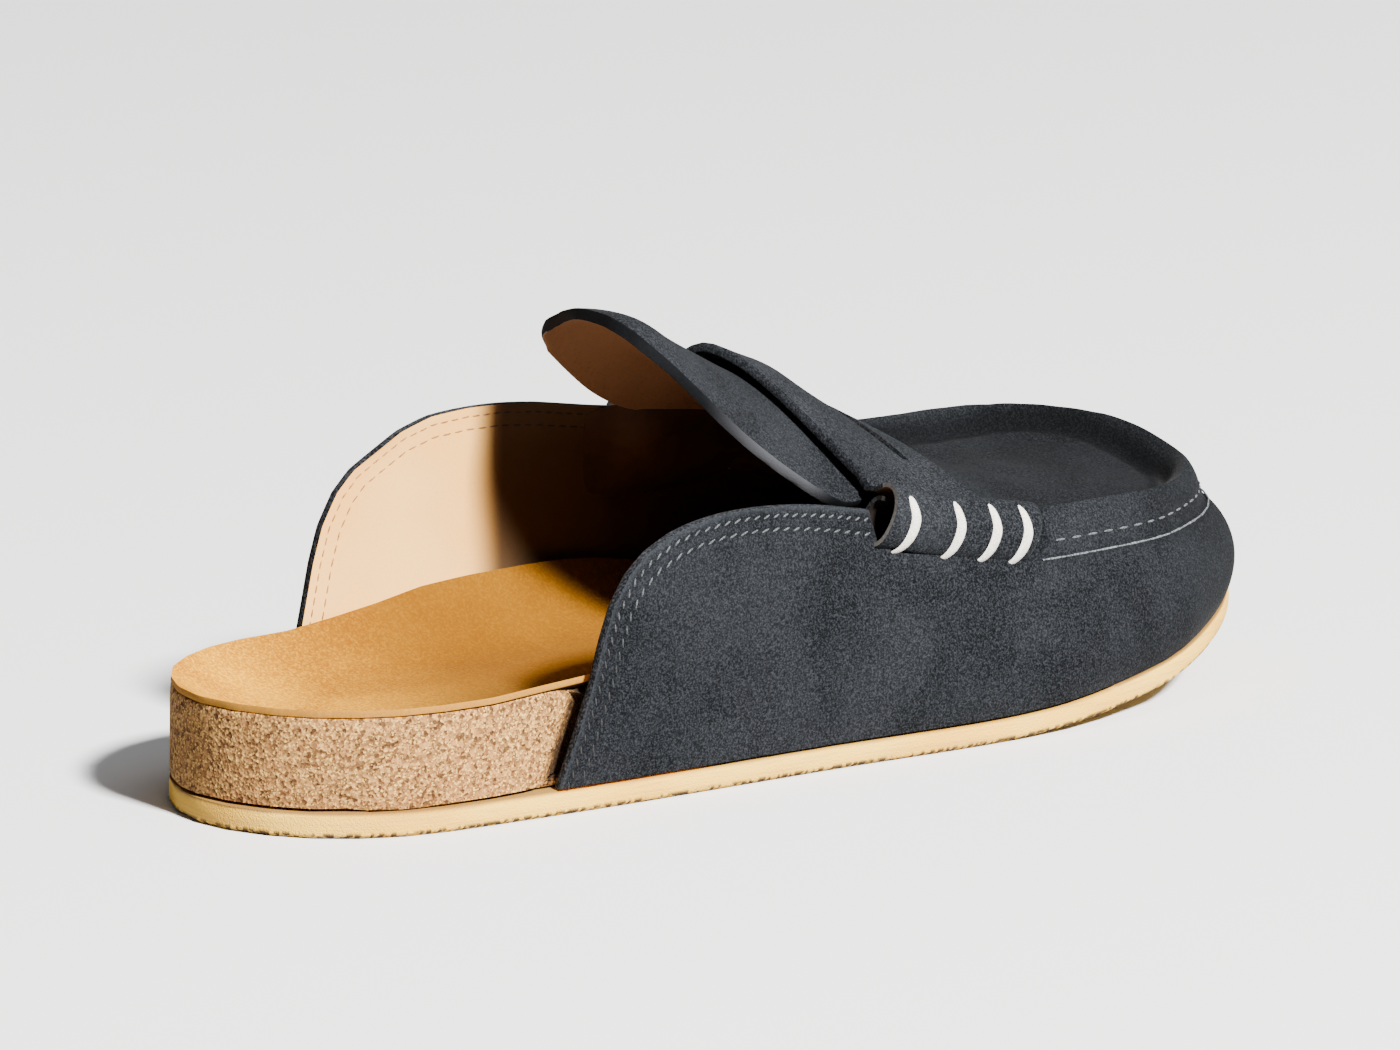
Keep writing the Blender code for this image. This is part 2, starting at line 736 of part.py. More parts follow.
def beef_roll(name, side):
    """Strap end rolled up beside the instep: a thick tube, open at the back and closed at the front."""
    start, end = roll_span(side)
    start += SEAT_GAP / OUTSOLE_LENGTH
    end -= 4 * SEAT_GAP / OUTSOLE_LENGTH
    bore = ROLL_RADIUS - ROLL_WALL
    outside = [(mix(end, start, i / OUTSIDE_STEPS), ROLL_RADIUS) for i in range(2, OUTSIDE_STEPS + 1)]
    inside = [(mix(start, end, i / BORE_STEPS), bore) for i in range(BORE_STEPS)]
    nose = [(end, NOSE_TIP * ROLL_RADIUS), (end - NOSE_LENGTH, NOSE_SHOULDER * ROLL_RADIUS)]
    rings = nose + outside + inside
    points = []
    for station, radius in rings:
        distance, height = roll_axis(side, station)
        for k in range(ROLL_SIDES):
            angle = radians(360) * k / ROLL_SIDES
            x = side * distance + radius * cos(angle)
            points.append(Vector((x, station * OUTSOLE_LENGTH, height + radius * sin(angle))))
    faces = []
    for ring in range(len(rings) - 1):
        for k in range(ROLL_SIDES):
            a = ring * ROLL_SIDES + k
            b = ring * ROLL_SIDES + (k + 1) % ROLL_SIDES
            faces.append([b, a, a + ROLL_SIDES, b + ROLL_SIDES])
    faces.append(list(range(ROLL_SIDES)))
    faces.append(list(reversed(range(len(points) - ROLL_SIDES, len(points)))))
    return closed_tube(name, points, [list(reversed(face)) for face in faces])


def closed_tube(name, points, faces):
    mesh = bpy.data.meshes.new(name)
    mesh.from_pydata([tuple(p) for p in points], [], faces)
    mesh.validate()
    mesh.shade_smooth()
    mesh.set_sharp_from_angle(angle=radians(40))
    mesh.materials.append(finish(name, (0.045, 0.055, 0.070), 0.95))
    piece = bpy.data.objects.new(name, mesh)
    bpy.context.collection.objects.link(piece)
    return piece


def centre_on_floor(pieces):
    """Put the origin under the middle of the shoe's bounding box."""
    corners = [vertex.co for piece in pieces for vertex in piece.data.vertices]
    low = Vector([min(c[axis] for c in corners) for axis in range(3)])
    high = Vector([max(c[axis] for c in corners) for axis in range(3)])
    shift = Vector((-(low.x + high.x) / 2, -(low.y + high.y) / 2, -low.z))
    for piece in pieces:
        for vertex in piece.data.vertices:
            vertex.co += shift


def build():
    for thing in list(bpy.data.objects):
        bpy.data.objects.remove(thing, do_unlink=True)
    pieces = [
        outsole(),
        midsole_cork(),
        insole(),
        upper(),
        tongue(),
        saddle_strap(),
        beef_roll("beef_roll_lateral", LATERAL),
        beef_roll("beef_roll_medial", MEDIAL),
    ]
    centre_on_floor(pieces)


build()
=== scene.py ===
"""Looks of the right loafer mule, built up from the floor.

The sole layers come first, then the upper with its seams, the tongue, the strap, its rolls and the threads.
+Y runs from heel to toe and +X to the outer side of the foot. Paths are in millimetres in the shoe's frame.
"""
from math import cos, pi, radians, sin

import bpy
import numpy as np
from mathutils import Matrix, Vector


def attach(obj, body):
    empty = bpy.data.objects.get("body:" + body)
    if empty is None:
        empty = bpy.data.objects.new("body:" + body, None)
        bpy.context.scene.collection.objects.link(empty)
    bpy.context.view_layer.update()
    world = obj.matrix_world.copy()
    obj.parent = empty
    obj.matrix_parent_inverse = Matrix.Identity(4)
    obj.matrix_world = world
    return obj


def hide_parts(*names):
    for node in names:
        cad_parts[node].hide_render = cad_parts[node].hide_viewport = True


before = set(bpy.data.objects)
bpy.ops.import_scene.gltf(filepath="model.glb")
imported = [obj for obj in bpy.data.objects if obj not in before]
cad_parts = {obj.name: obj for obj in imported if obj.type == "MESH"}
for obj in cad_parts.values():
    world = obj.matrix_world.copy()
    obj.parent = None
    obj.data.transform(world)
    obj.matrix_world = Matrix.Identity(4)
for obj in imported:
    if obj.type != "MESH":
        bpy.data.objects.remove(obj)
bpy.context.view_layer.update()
MM = 0.001


# ---------------------------------------------------------------------------------------------------------
# Studio
# A wide pale floor, one fairly hard key light on the outer side of the shoe, and a large soft light above.
# The camera stands low behind the heel, on the outer side, and frames the one shoe.
SHOE_MIDDLE = Vector((0.0, -0.004, 0.047))
FLOOR_SEEN = (0.95, 0.95, 0.95, 1)
FLOOR_THROWN_BACK = (0.36, 0.36, 0.37, 1)
CAMERA_PLACE = (1.8931, -1.4296, 0.5866)
# The photo's lens, drawn in until the one shoe fills the picture
PHOTO_LENS = 89.46
DRAWN_IN = 3.12

bpy.ops.object.select_all(action="DESELECT")
bpy.ops.mesh.primitive_plane_add(size=40, location=(0, 0, 0))
floor = bpy.context.active_object
floor.name = "studio_floor"
bpy.ops.object.mode_set(mode="EDIT")
bpy.ops.mesh.subdivide(number_cuts=4)
bpy.ops.object.mode_set(mode="OBJECT")

floor_paint = bpy.data.materials.new("studio_floor")
floor_paint.use_nodes = True
floor_shader = floor_paint.node_tree.nodes["Principled BSDF"]
# The floor throws less light back on the shoe than it shows, like a sweep that is lit apart from the subject
floor_tree = floor_paint.node_tree
seen = floor_tree.nodes.new("ShaderNodeLightPath")
floor_tone = floor_tree.nodes.new("ShaderNodeMix")
floor_tone.data_type = "RGBA"
floor_tone.inputs[6].default_value = FLOOR_THROWN_BACK
floor_tone.inputs[7].default_value = FLOOR_SEEN
floor_tree.links.new(seen.outputs["Is Camera Ray"], floor_tone.inputs[0])
floor_tree.links.new(floor_tone.outputs[2], floor_shader.inputs["Base Color"])
floor_shader.inputs["Roughness"].default_value = 0.85
floor_shader.inputs["Specular IOR Level"].default_value = 0.2
floor.data.materials.append(floor_paint)

sky = bpy.data.worlds.new("studio")
bpy.context.scene.world = sky
sky.use_nodes = True
sky.node_tree.nodes["Background"].inputs["Color"].default_value = (0.95, 0.97, 1.0, 1)
sky.node_tree.nodes["Background"].inputs["Strength"].default_value = 0.07


def studio_light(name, size, watts, distance, azimuth, elevation, colour):
    """A square light that faces the shoe. Azimuth 0 is the outer side and 90 the toe."""
    bpy.ops.object.select_all(action="DESELECT")
    a, e = radians(azimuth), radians(elevation)
    way = Vector((cos(e) * cos(a), cos(e) * sin(a), sin(e)))
    bpy.ops.object.light_add(type="AREA", location=SHOE_MIDDLE + way * distance)
    light = bpy.context.active_object
    light.name = name
    light.data.size = size
    light.data.energy = watts
    light.data.color = colour
    light.rotation_euler = way.to_track_quat("Z", "Y").to_euler()


studio_light("key_light", 0.55, 905, distance=4.3, azimuth=3, elevation=41, colour=(1.0, 0.985, 0.965))
studio_light("top_light", 2.8, 24, distance=3.0, azimuth=62, elevation=68, colour=(0.97, 0.985, 1.0))
studio_light("toe_light", 0.8, 1.5, distance=1.8, azimuth=78, elevation=22, colour=(0.93, 0.97, 1.0))

bpy.ops.object.select_all(action="DESELECT")
bpy.ops.object.camera_add(location=CAMERA_PLACE)
camera = bpy.context.active_object
camera.name = "photo_view"
camera.data.sensor_width = 36
camera.data.lens = PHOTO_LENS * DRAWN_IN
camera.data.clip_start = 0.05
camera.data.clip_end = 60
camera.rotation_euler = (SHOE_MIDDLE - camera.location).to_track_quat("-Z", "Y").to_euler()
bpy.context.scene.camera = camera


# ---------------------------------------------------------------------------------------------------------
# Outsole
# A flat crepe rubber plate in pale cream, cut to the last's outline and turned up at the toe.
# It is glued under the cork, and its sawn side shows fine ribs along its lower edge, a slight bump with
# painted shade darkening their grooves.
SOLE_LENGTH = 0.285
SOLE_THICKNESS = 0.0055
HEEL_END = -0.1429
TOE_SPRING = 0.0175
SPRING_START = 0.62
SPRING_RUN = 0.38
HARD_EDGE = 38


def refined(node, name, levels, crease):
    """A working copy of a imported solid: merged, paired to quads, its hard edges creased, then smoothed."""
    bpy.ops.object.select_all(action="DESELECT")
    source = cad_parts[node]
    source.select_set(True)
    bpy.context.view_layer.objects.active = source
    bpy.ops.object.duplicate()
    piece = bpy.context.active_object
    piece.name = name
    piece.data.name = name
    piece.data.materials.clear()
    bpy.ops.object.mode_set(mode="EDIT")
    bpy.ops.mesh.select_all(action="SELECT")
    bpy.ops.mesh.remove_doubles(threshold=0.00002)
    bpy.ops.mesh.tris_convert_to_quads(face_threshold=radians(60), shape_threshold=radians(70))
    bpy.ops.mesh.customdata_custom_splitnormals_clear()
    bpy.ops.mesh.select_all(action="DESELECT")
    bpy.ops.mesh.edges_select_sharp(sharpness=radians(HARD_EDGE))
    bpy.ops.transform.edge_crease(value=crease)
    bpy.ops.object.mode_set(mode="OBJECT")
    subdivide(piece, levels)
    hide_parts(node)
    return piece


def subdivide(piece, levels):
    """Catmull-Clark smoothing, applied."""
    if levels:
        bpy.context.view_layer.objects.active = piece
        smooth = piece.modifiers.new("smooth", "SUBSURF")
        smooth.levels = levels
        smooth.render_levels = levels
        bpy.ops.object.modifier_apply(modifier=smooth.name)


def finished(piece, materials):
    """Smooth shading, materials and the body that the piece rides on."""
    bpy.ops.object.select_all(action="DESELECT")
    piece.select_set(True)
    bpy.context.view_layer.objects.active = piece
    bpy.ops.object.shade_smooth_by_angle(angle=radians(45))
    for material in materials:
        piece.data.materials.append(material)
    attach(piece, "root")


def places(piece):
    """All vertex places of a piece as an array."""
    flat = np.empty(len(piece.data.vertices) * 3)
    piece.data.vertices.foreach_get("co", flat)
    return flat.reshape(-1, 3)


def note(piece, name, values):
    """Stores one number for each vertex, which a material reads by name."""
    layer = piece.data.attributes.new(name, "FLOAT", "POINT")
    layer.data.foreach_set("value", np.asarray(values, dtype=np.float32))


def wire(tree, kind, inputs=None, **settings):
    """A shader node with its settings made and its sockets filled by values or by other nodes' outputs."""
    made = tree.nodes.new("ShaderNode" + kind)
    for key, value in settings.items():
        setattr(made, key, value)
    for key, value in (inputs or {}).items():
        if isinstance(value, bpy.types.NodeSocket):
            tree.links.new(value, made.inputs[key])
        else:
            made.inputs[key].default_value = value
    return made


def new_group(name, inputs, outputs):
    """An empty node group with named sockets, and its input and output nodes."""
    group = bpy.data.node_groups.new(name, "ShaderNodeTree")
    for label, kind, value in inputs:
        socket = group.interface.new_socket(label, in_out="INPUT", socket_type=kind)
        socket.default_value = value
    for label, kind in outputs:
        group.interface.new_socket(label, in_out="OUTPUT", socket_type=kind)
    return group, group.nodes.new("NodeGroupInput"), group.nodes.new("NodeGroupOutput")


def blend_colour(tree, share, first, second):
    return wire(tree, "Mix", {0: share, 6: first, 7: second}, data_type="RGBA").outputs[2]


def scaled(tree, value, low, high, to_low=0.0, to_high=1.0):
    """Maps a value from one range to another, eased and held at the ends."""
    inputs = {0: value, 1: low, 2: high, 3: to_low, 4: to_high}
    return wire(tree, "MapRange", inputs, interpolation_type="SMOOTHSTEP").outputs[0]


def product(tree, first, second):
    return wire(tree, "Math", {0: first, 1: second}, operation="MULTIPLY").outputs[0]


def noise_at(tree, size, detail=2.0, stretch=(1, 1, 1)):
    """Object-space noise with features about the given size in metres."""
    where = wire(tree, "TexCoord").outputs["Object"]
    moved = wire(tree, "Mapping", {"Vector": where, "Scale": stretch}).outputs[0]
    return wire(tree, "TexNoise", {"Vector": moved, "Scale": 1 / size, "Detail": detail}).outputs["Fac"]


def new_material(name, roughness, specular=0.35):
    material = bpy.data.materials.new(name)
    material.use_nodes = True
    shader = material.node_tree.nodes["Principled BSDF"]
    shader.inputs["Roughness"].default_value = roughness
    shader.inputs["Specular IOR Level"].default_value = specular
    return material, material.node_tree, shader


def bump_from(tree, shader, height, depth):
    """Joins a height to the shader's normal. Depth is the height's full relief in metres."""
    made = wire(tree, "Bump", {"Height": height, "Distance": depth, "Strength": 1.0})
    tree.links.new(made.outputs[0], shader.inputs["Normal"])


outsole = refined("outsole", "outsole_plate", 2, 0.93)
outsole_at = places(outsole)
along_sole = (outsole_at[:, 1] - HEEL_END) / SOLE_LENGTH
sole_rise = TOE_SPRING * np.clip((along_sole - SPRING_START) / SPRING_RUN, 0, None) ** 2
note(outsole, "side_height", (outsole_at[:, 2] - sole_rise) / SOLE_THICKNESS)

crepe, tree, shader = new_material("crepe_rubber", 0.72, 0.3)
level = wire(tree, "Attribute", attribute_name="side_height").outputs["Fac"]
rib = noise_at(tree, 0.0017, 1.0, (1, 1, 0.10))
pore = noise_at(tree, 0.0004, 2.0)
band = noise_at(tree, 0.0009, 2.0, (0.06, 0.06, 1.6))
cloud = noise_at(tree, 0.030, 2.0)
low_edge = scaled(tree, level, 0.30, 0.12)
tone = blend_colour(tree, scaled(tree, cloud, 0.35, 0.65), (0.93, 0.50, 0.050, 1), (1.0, 0.60, 0.080, 1))
tone = blend_colour(tree, scaled(tree, band, 0.46, 0.66, 0.0, 0.35), tone, (0.55, 0.32, 0.10, 1))
# Painted shade: dark bars in the rib grooves along the lower edge
rib_grooves_with_painted_shade = product(tree, low_edge, scaled(tree, rib, 0.44, 0.54))
tone = blend_colour(tree, rib_grooves_with_painted_shade, tone, (0.10, 0.050, 0.016, 1))
seam_shade = scaled(tree, level, 0.86, 0.98, 0.0, 0.85)
tone = blend_colour(tree, seam_shade, tone, (0.16, 0.075, 0.024, 1))
tree.links.new(tone, shader.inputs["Base Color"])
relief = wire(tree, "Math", {0: rib_grooves_with_painted_shade, 1: -0.6, 2: pore}, operation="MULTIPLY_ADD").outputs[0]
bump_from(tree, shader, relief, 0.00025)
finished(outsole, [crepe])


# ---------------------------------------------------------------------------------------------------------
# Cork footbed
# Pressed cork granules bound with latex, moulded to a heel cup and an arch, sanded at the side.
# It is glued on the outsole and set back a little from its edge.
INNER_BACK = (-0.6, -0.8, 0)
FLUSH_FROM = 0.098
FLUSH_RUN = 0.024
FLUSH_STEP = (-0.0010, -0.0013, 0)

cork = refined("midsole_cork", "cork_footbed", 2, 0.93)


def flush_at_heel(piece):
    """Brings a layer out towards the outsole's edge round the inner back of the heel."""
    at = places(piece)
    reach = at @ np.array(INNER_BACK)
    share = np.clip((reach - FLUSH_FROM) / FLUSH_RUN, 0, 1)
    share = share * share * (3 - 2 * share)
    at = at + share[:, None] * np.array(FLUSH_STEP)
    piece.data.vertices.foreach_set("co", at.ravel())


def trough(piece, path, width, depth):
    """Presses a soft trough into a piece along a path, or raises a ridge where depth is negative."""
    at = places(piece)
    fall = np.exp(-((nearest_gap(at, path) / (width * MM)) ** 2)) * depth * MM
    normals = np.empty(len(at) * 3)
    piece.data.vertices.foreach_get("normal", normals)
    at = at - normals.reshape(-1, 3) * fall[:, None]
    piece.data.vertices.foreach_set("co", at.ravel())
    piece.data.update()


def nearest_gap(points, path):
    """Distance in metres from each point to a path given in millimetres."""
    path = np.array(path) * MM
    best = np.full(len(points), 1.0)
    for start, end in zip(path, path[1:]):
        run = end - start
        share = np.clip((points - start) @ run / (run @ run), 0, 1)
        best = np.minimum(best, np.linalg.norm(points - start - share[:, None] * run, axis=1))
    return best


flush_at_heel(cork)
# The wings stand a little off the cork at their rear edges: the cork is pressed in there, and the gap is
# darkened with painted shade
GAP_LATERAL = ((42.0, -73.0, 5.8), (42.8, -71.0, 12.0), (43.3, -68.0, 20.0), (43.6, -65.0, 29.0))
GAP_MEDIAL = ((-37.5, -88.0, 5.8), (-38.5, -86.0, 13.0), (-39.0, -83.5, 22.0), (-39.2, -81.0, 32.0))
trough(cork, GAP_LATERAL, 4.6, 3.2)
trough(cork, GAP_MEDIAL, 4.2, 3.0)
cork_at = places(cork)
note(cork, "wing_gap", np.minimum(nearest_gap(cork_at, GAP_LATERAL), nearest_gap(cork_at, GAP_MEDIAL)))
cork_stuff, tree, shader = new_material("pressed_cork", 0.88, 0.2)
where = wire(tree, "TexCoord").outputs["Object"]
grains = wire(tree, "TexVoronoi", {"Vector": where, "Scale": 1250.0, "Randomness": 1.0})
crumbs = wire(tree, "TexVoronoi", {"Vector": where, "Scale": 2600.0, "Randomness": 1.0})
grain_tone = wire(tree, "SeparateColor", {0: grains.outputs["Color"]})
crumb_tone = wire(tree, "SeparateColor", {0: crumbs.outputs["Color"]})
cloud = noise_at(tree, 0.018, 2.0)
tone = blend_colour(tree, grain_tone.outputs[0], (0.15, 0.064, 0.020, 1), (0.62, 0.315, 0.100, 1))
tone = blend_colour(tree, scaled(tree, cloud, 0.35, 0.65, 0.0, 0.35), tone, (0.42, 0.18, 0.055, 1))
pale = scaled(tree, crumb_tone.outputs[1], 0.74, 0.90, 0.0, 0.75)
tone = blend_colour(tree, pale, tone, (0.90, 0.56, 0.15, 1))
bark = scaled(tree, grain_tone.outputs[1], 0.80, 0.92, 0.0, 0.80)
tone = blend_colour(tree, bark, tone, (0.060, 0.022, 0.008, 1))
fleck = scaled(tree, crumb_tone.outputs[0], 0.82, 0.92, 0.0, 0.65)
tone = blend_colour(tree, fleck, tone, (0.045, 0.016, 0.006, 1))
wing_gap = wire(tree, "Attribute", attribute_name="wing_gap").outputs["Fac"]
# Painted shade in the gap behind each wing's rear edge
tone = blend_colour(tree, scaled(tree, wing_gap, 0.0060, 0.0036, 0.0, 0.96), tone, (0.012, 0.005, 0.002, 1))
tree.links.new(tone, shader.inputs["Base Color"])
pits = wire(tree, "Math", {0: grains.outputs["Distance"], 1: crumb_tone.outputs[0]}, operation="ADD")
bump_from(tree, shader, pits.outputs[0], 0.00020)
finished(cork, [cork_stuff])


# ---------------------------------------------------------------------------------------------------------
# Insole
# A sock of ochre suede glued over the whole footbed, brushed along the foot.
# Its cut edge is bare and shows as a thin tan line round the rim.
OCHRE_DARK = (0.40, 0.150, 0.003, 1)
OCHRE_LIGHT = (0.86, 0.400, 0.010, 1)

nap, nap_in, nap_out = new_group(
    "suede_nap",
    (
        ("Dark", "NodeSocketColor", (0.03, 0.04, 0.05, 1)),
        ("Light", "NodeSocketColor", (0.10, 0.11, 0.13, 1)),
        ("Fibre", "NodeSocketFloat", 0.0005),
        ("Speckle", "NodeSocketFloat", 0.5),
        ("Brushed", "NodeSocketFloat", 0.35),
    ),
    (("Color", "NodeSocketColor"), ("Height", "NodeSocketFloat"), ("Roughness", "NodeSocketFloat")),
)
nap_where = wire(nap, "TexCoord").outputs["Object"]
nap_scale = wire(nap, "Math", {0: 1.0, 1: nap_in.outputs["Fibre"]}, operation="DIVIDE").outputs[0]
fibres = wire(nap, "TexNoise", {"Vector": nap_where, "Scale": nap_scale, "Detail": 3.0, "Roughness": 0.65})
tuft_scale = product(nap, nap_scale, 0.42)
tufts = wire(nap, "TexNoise", {"Vector": nap_where, "Scale": tuft_scale, "Detail": 2.0})
strokes = wire(nap, "TexNoise", {"Vector": nap_where, "Scale": 38.0, "Detail": 2.0, "Distortion": 0.4})
fibre_share = scaled(nap, fibres.outputs["Fac"], 0.42, 0.68)
fibre_share = product(nap, fibre_share, nap_in.outputs["Speckle"])
tuft_share = scaled(nap, tufts.outputs["Fac"], 0.35, 0.70, -0.06, 0.10)
stroke_share = scaled(nap, strokes.outputs["Fac"], 0.35, 0.68)
stroke_share = product(nap, stroke_share, nap_in.outputs["Brushed"])
nap_sum = wire(nap, "Math", {0: fibre_share, 1: tuft_share}, operation="ADD").outputs[0]
nap_sum = wire(nap, "Math", {0: nap_sum, 1: stroke_share}, operation="ADD", use_clamp=True).outputs[0]
nap_tone = blend_colour(nap, nap_sum, nap_in.outputs["Dark"], nap_in.outputs["Light"])
nap_height = wire(
    nap, "Math", {0: tufts.outputs["Fac"], 1: 0.8, 2: fibres.outputs["Fac"]}, operation="MULTIPLY_ADD"
)
nap.links.new(nap_tone, nap_out.inputs["Color"])
nap.links.new(nap_height.outputs[0], nap_out.inputs["Height"])
nap.links.new(scaled(nap, nap_sum, 0.0, 1.0, 0.96, 0.84), nap_out.inputs["Roughness"])


def along_axis(tree, axis):
    """The place along one axis of the shoe, in metres."""
    return wire(tree, "SeparateXYZ", {0: wire(tree, "TexCoord").outputs["Object"]}).outputs[axis]


def suede(name, dark, light, fibre, speckle, brushed, relief=0.0):
    """A suede material, and its nodes for further tones. Without a relief its bump is left to be added."""
    material, tree, shader = new_material(name, 0.92, 0.08)
    shader.inputs["Sheen Weight"].default_value = 0.02
    shader.inputs["Sheen Roughness"].default_value = 0.45
    group = tree.nodes.new("ShaderNodeGroup")
    group.node_tree = nap
    look = {"Dark": dark, "Light": light, "Fibre": fibre, "Speckle": speckle, "Brushed": brushed}
    for key, value in look.items():
        group.inputs[key].default_value = value
    tree.links.new(group.outputs["Color"], shader.inputs["Base Color"])
    tree.links.new(group.outputs["Roughness"], shader.inputs["Roughness"])
    if relief:
        bump_from(tree, shader, group.outputs["Height"], relief)
    return material, tree, shader, group


insole = refined("insole", "suede_sock", 2, 0.93)
flush_at_heel(insole)
sock, tree, shader, group = suede(
    "ochre_suede", OCHRE_DARK, OCHRE_LIGHT, fibre=0.0007, speckle=0.70, brushed=0.40, relief=0.00028
)
# Painted shade: the sock darkens towards the toe, deeper in the shoe, and more beside the outer wing, where
# the wing's shadow falls
painted_inner_shade = scaled(tree, along_axis(tree, "Y"), -0.128, -0.058, 0.0, 0.88)
tone = blend_colour(tree, painted_inner_shade, group.outputs["Color"], (0.13, 0.046, 0.001, 1))
painted_wing_shadow = product(tree, scaled(tree, along_axis(tree, "X"), -0.002, 0.030), painted_inner_shade)
tone = blend_colour(tree, painted_wing_shadow, tone, (0.020, 0.0075, 0.0005, 1))
tree.links.new(tone, shader.inputs["Base Color"])
sock_edge, edge_tree, edge_shader = new_material("sock_cut_edge", 0.85, 0.2)
edge_tone = blend_colour(
    edge_tree, noise_at(edge_tree, 0.0006, 2.0), (0.30, 0.125, 0.012, 1), (0.52, 0.24, 0.032, 1)
)
edge_tree.links.new(edge_tone, edge_shader.inputs["Base Color"])
finished(insole, [sock, sock_edge])
for face in insole.data.polygons:
    face.material_index = 1 if abs(face.normal.z) < 0.35 else 0


# ---------------------------------------------------------------------------------------------------------
# Upper
# Charcoal navy suede, built as a moccasin: two high wings and a skirt, stitched to a plug in a rolled rim.
# It is lined with pale calf, cut raw at the collar, and lasted between the outsole and the cork.
COLLAR_LATERAL = (
    (44.6, -76.0, 5.8), (45.3, -74.1, 11.1), (45.9, -71.0, 19.7), (46.3, -67.8, 29.3),
    (46.4, -65.2, 37.8), (46.4, -62.4, 45.3), (46.4, -58.0, 51.6), (46.4, -52.8, 55.9),
    (46.4, -46.0, 59.1), (46.5, -40.0, 60.7), (46.6, -32.9, 61.7), (46.7, -24.9, 61.9),
    (46.1, -15.8, 61.3), (45.2, -7.0, 60.0), (44.2, 1.0, 58.4), (43.1, 7.0, 57.0), (42.4, 10.7, 56.2),
)
COLLAR_MEDIAL = (
    (-39.9, -91.1, 5.8), (-40.7, -89.5, 11.8), (-41.4, -87.1, 21.3), (-41.6, -84.4, 32.1),
    (-41.5, -82.4, 41.6), (-41.1, -80.1, 50.0), (-40.4, -76.5, 57.2), (-39.6, -72.4, 61.9),
    (-38.8, -66.8, 65.5), (-38.4, -60.0, 69.5), (-38.0, -52.0, 72.0), (-37.1, -42.9, 72.9),
    (-36.2, -34.1, 72.9), (-35.9, -24.9, 72.0), (-35.0, -17.0, 70.7), (-33.8, -9.3, 69.5),
    (-32.8, -3.8, 68.8),
)
SEAM = (
    (46.7, 56.3, 38.9), (46.6, 60.6, 38.9), (46.0, 68.0, 38.7), (45.2, 76.5, 38.6), (44.0, 85.1, 38.4),
    (42.7, 92.2, 38.3), (40.3, 99.0, 38.1), (37.0, 105.5, 38.1), (33.4, 111.7, 38.1),
    (29.3, 117.8, 38.1), (24.1, 123.6, 38.1), (17.7, 129.2, 38.1), (10.3, 133.7, 38.1),
    (1.8, 136.2, 38.1), (-7.0, 135.5, 38.7), (-15.5, 133.2, 39.3), (-23.7, 128.8, 39.9),
    (-30.5, 123.4, 40.3), (-36.1, 116.9, 40.8), (-40.5, 109.6, 41.2), (-43.5, 101.4, 41.7),
    (-44.8, 93.2, 42.2), (-44.8, 85.1, 42.7), (-43.5, 76.5, 43.5), (-42.2, 69.4, 44.2),
    (-41.0, 62.3, 45.1), (-40.2, 56.6, 46.1), (-39.3, 50.9, 47.4), (-38.2, 45.2, 48.0),
)
CUT_EDGE_WIDTH = 0.0030
# Everything above this height on the vamp is rim or plug
TOP_LEVEL = 38
# Given as the distance to an edge where a piece has no such edge
FAR_OFF = 0.05
NAVY_DARK = (0.0020, 0.0024, 0.0031, 1)
NAVY_LIGHT = (0.0335, 0.0368, 0.0425, 1)
EDGE_DARK = (0.0030, 0.0035, 0.0045, 1)
EDGE_LIGHT = (0.055, 0.060, 0.068, 1)
# The lining falls into shade between these two places along the shoe
LINING_SHADE = (-0.044, -0.033)

upper = refined("upper", "upper_shell", 0, 0.7)
# Faces that turn towards a line inside the shoe are lining, and those on the collar's edge are raw suede
for face in upper.data.polygons:
    inside_out = face.center - Vector((0, min(face.center.y + 0.010, 0.085), -0.040))
    middle = np.array([face.center])
    gap = min(float(nearest_gap(middle, collar)[0]) for collar in (COLLAR_LATERAL, COLLAR_MEDIAL))
    if gap < CUT_EDGE_WIDTH and abs(face.normal.x) < 0.6:
        face.material_index = 2
    elif face.normal.dot(inside_out) < 0:
        face.material_index = 1
subdivide(upper, 2)
upper_at = places(upper)
to_collar = np.minimum(nearest_gap(upper_at, COLLAR_LATERAL), nearest_gap(upper_at, COLLAR_MEDIAL))
note(upper, "collar_gap", to_collar)
note(upper, "seam_gap", nearest_gap(upper_at, SEAM))

# The rim stands up steeply from the plug, so the plug is pressed down along its foot and the crest drawn up
RIM_FOOT = (
    (-30.5, 62), (-32.6, 72), (-34.6, 84), (-34.6, 95), (-32.6, 105), (-29.0, 112), (-24.5, 117.5),
    (-18.5, 121.8), (-11.0, 124.3), (-3.0, 125.3), (3.8, 124.5), (10.0, 120.8), (15.5, 115.5),
    (19.5, 110.0),
)
RIM_CREST = (
    (-33.2, 58), (-35.0, 66), (-37.2, 76), (-38.6, 88), (-38.0, 98), (-35.4, 107), (-31.5, 113.5),
    (-26.8, 119.2), (-20.8, 124), (-13.6, 127.9), (-6.1, 130.1), (1.8, 130.7), (9.3, 128.3),
    (15.7, 123.9), (21.2, 118.7),
)
FOOT_DROP = (0, -1.2, -2.2, -2.6, -2.6, -2.6, -2.6, -2.6, -2.5, -2.4, -2.2, -1.8, -1.2, 0)
CREST_RISE = (0.3, 0.7, 0.5, 0.2, 0.2, 0.5, 1.0, 1.4, 1.6, 1.7, 1.7, 1.5, 1.2, 0.8, 0)
DISH_LINE = ((21, 66), (23, 78), (23.5, 90), (22, 101))
DISH_DROP = (0, -0.8, -0.8, 0)
PLUG_MIDDLE = (-0.006, 0.080)
PLUG_HALF_SIZE = (0.033, 0.050)


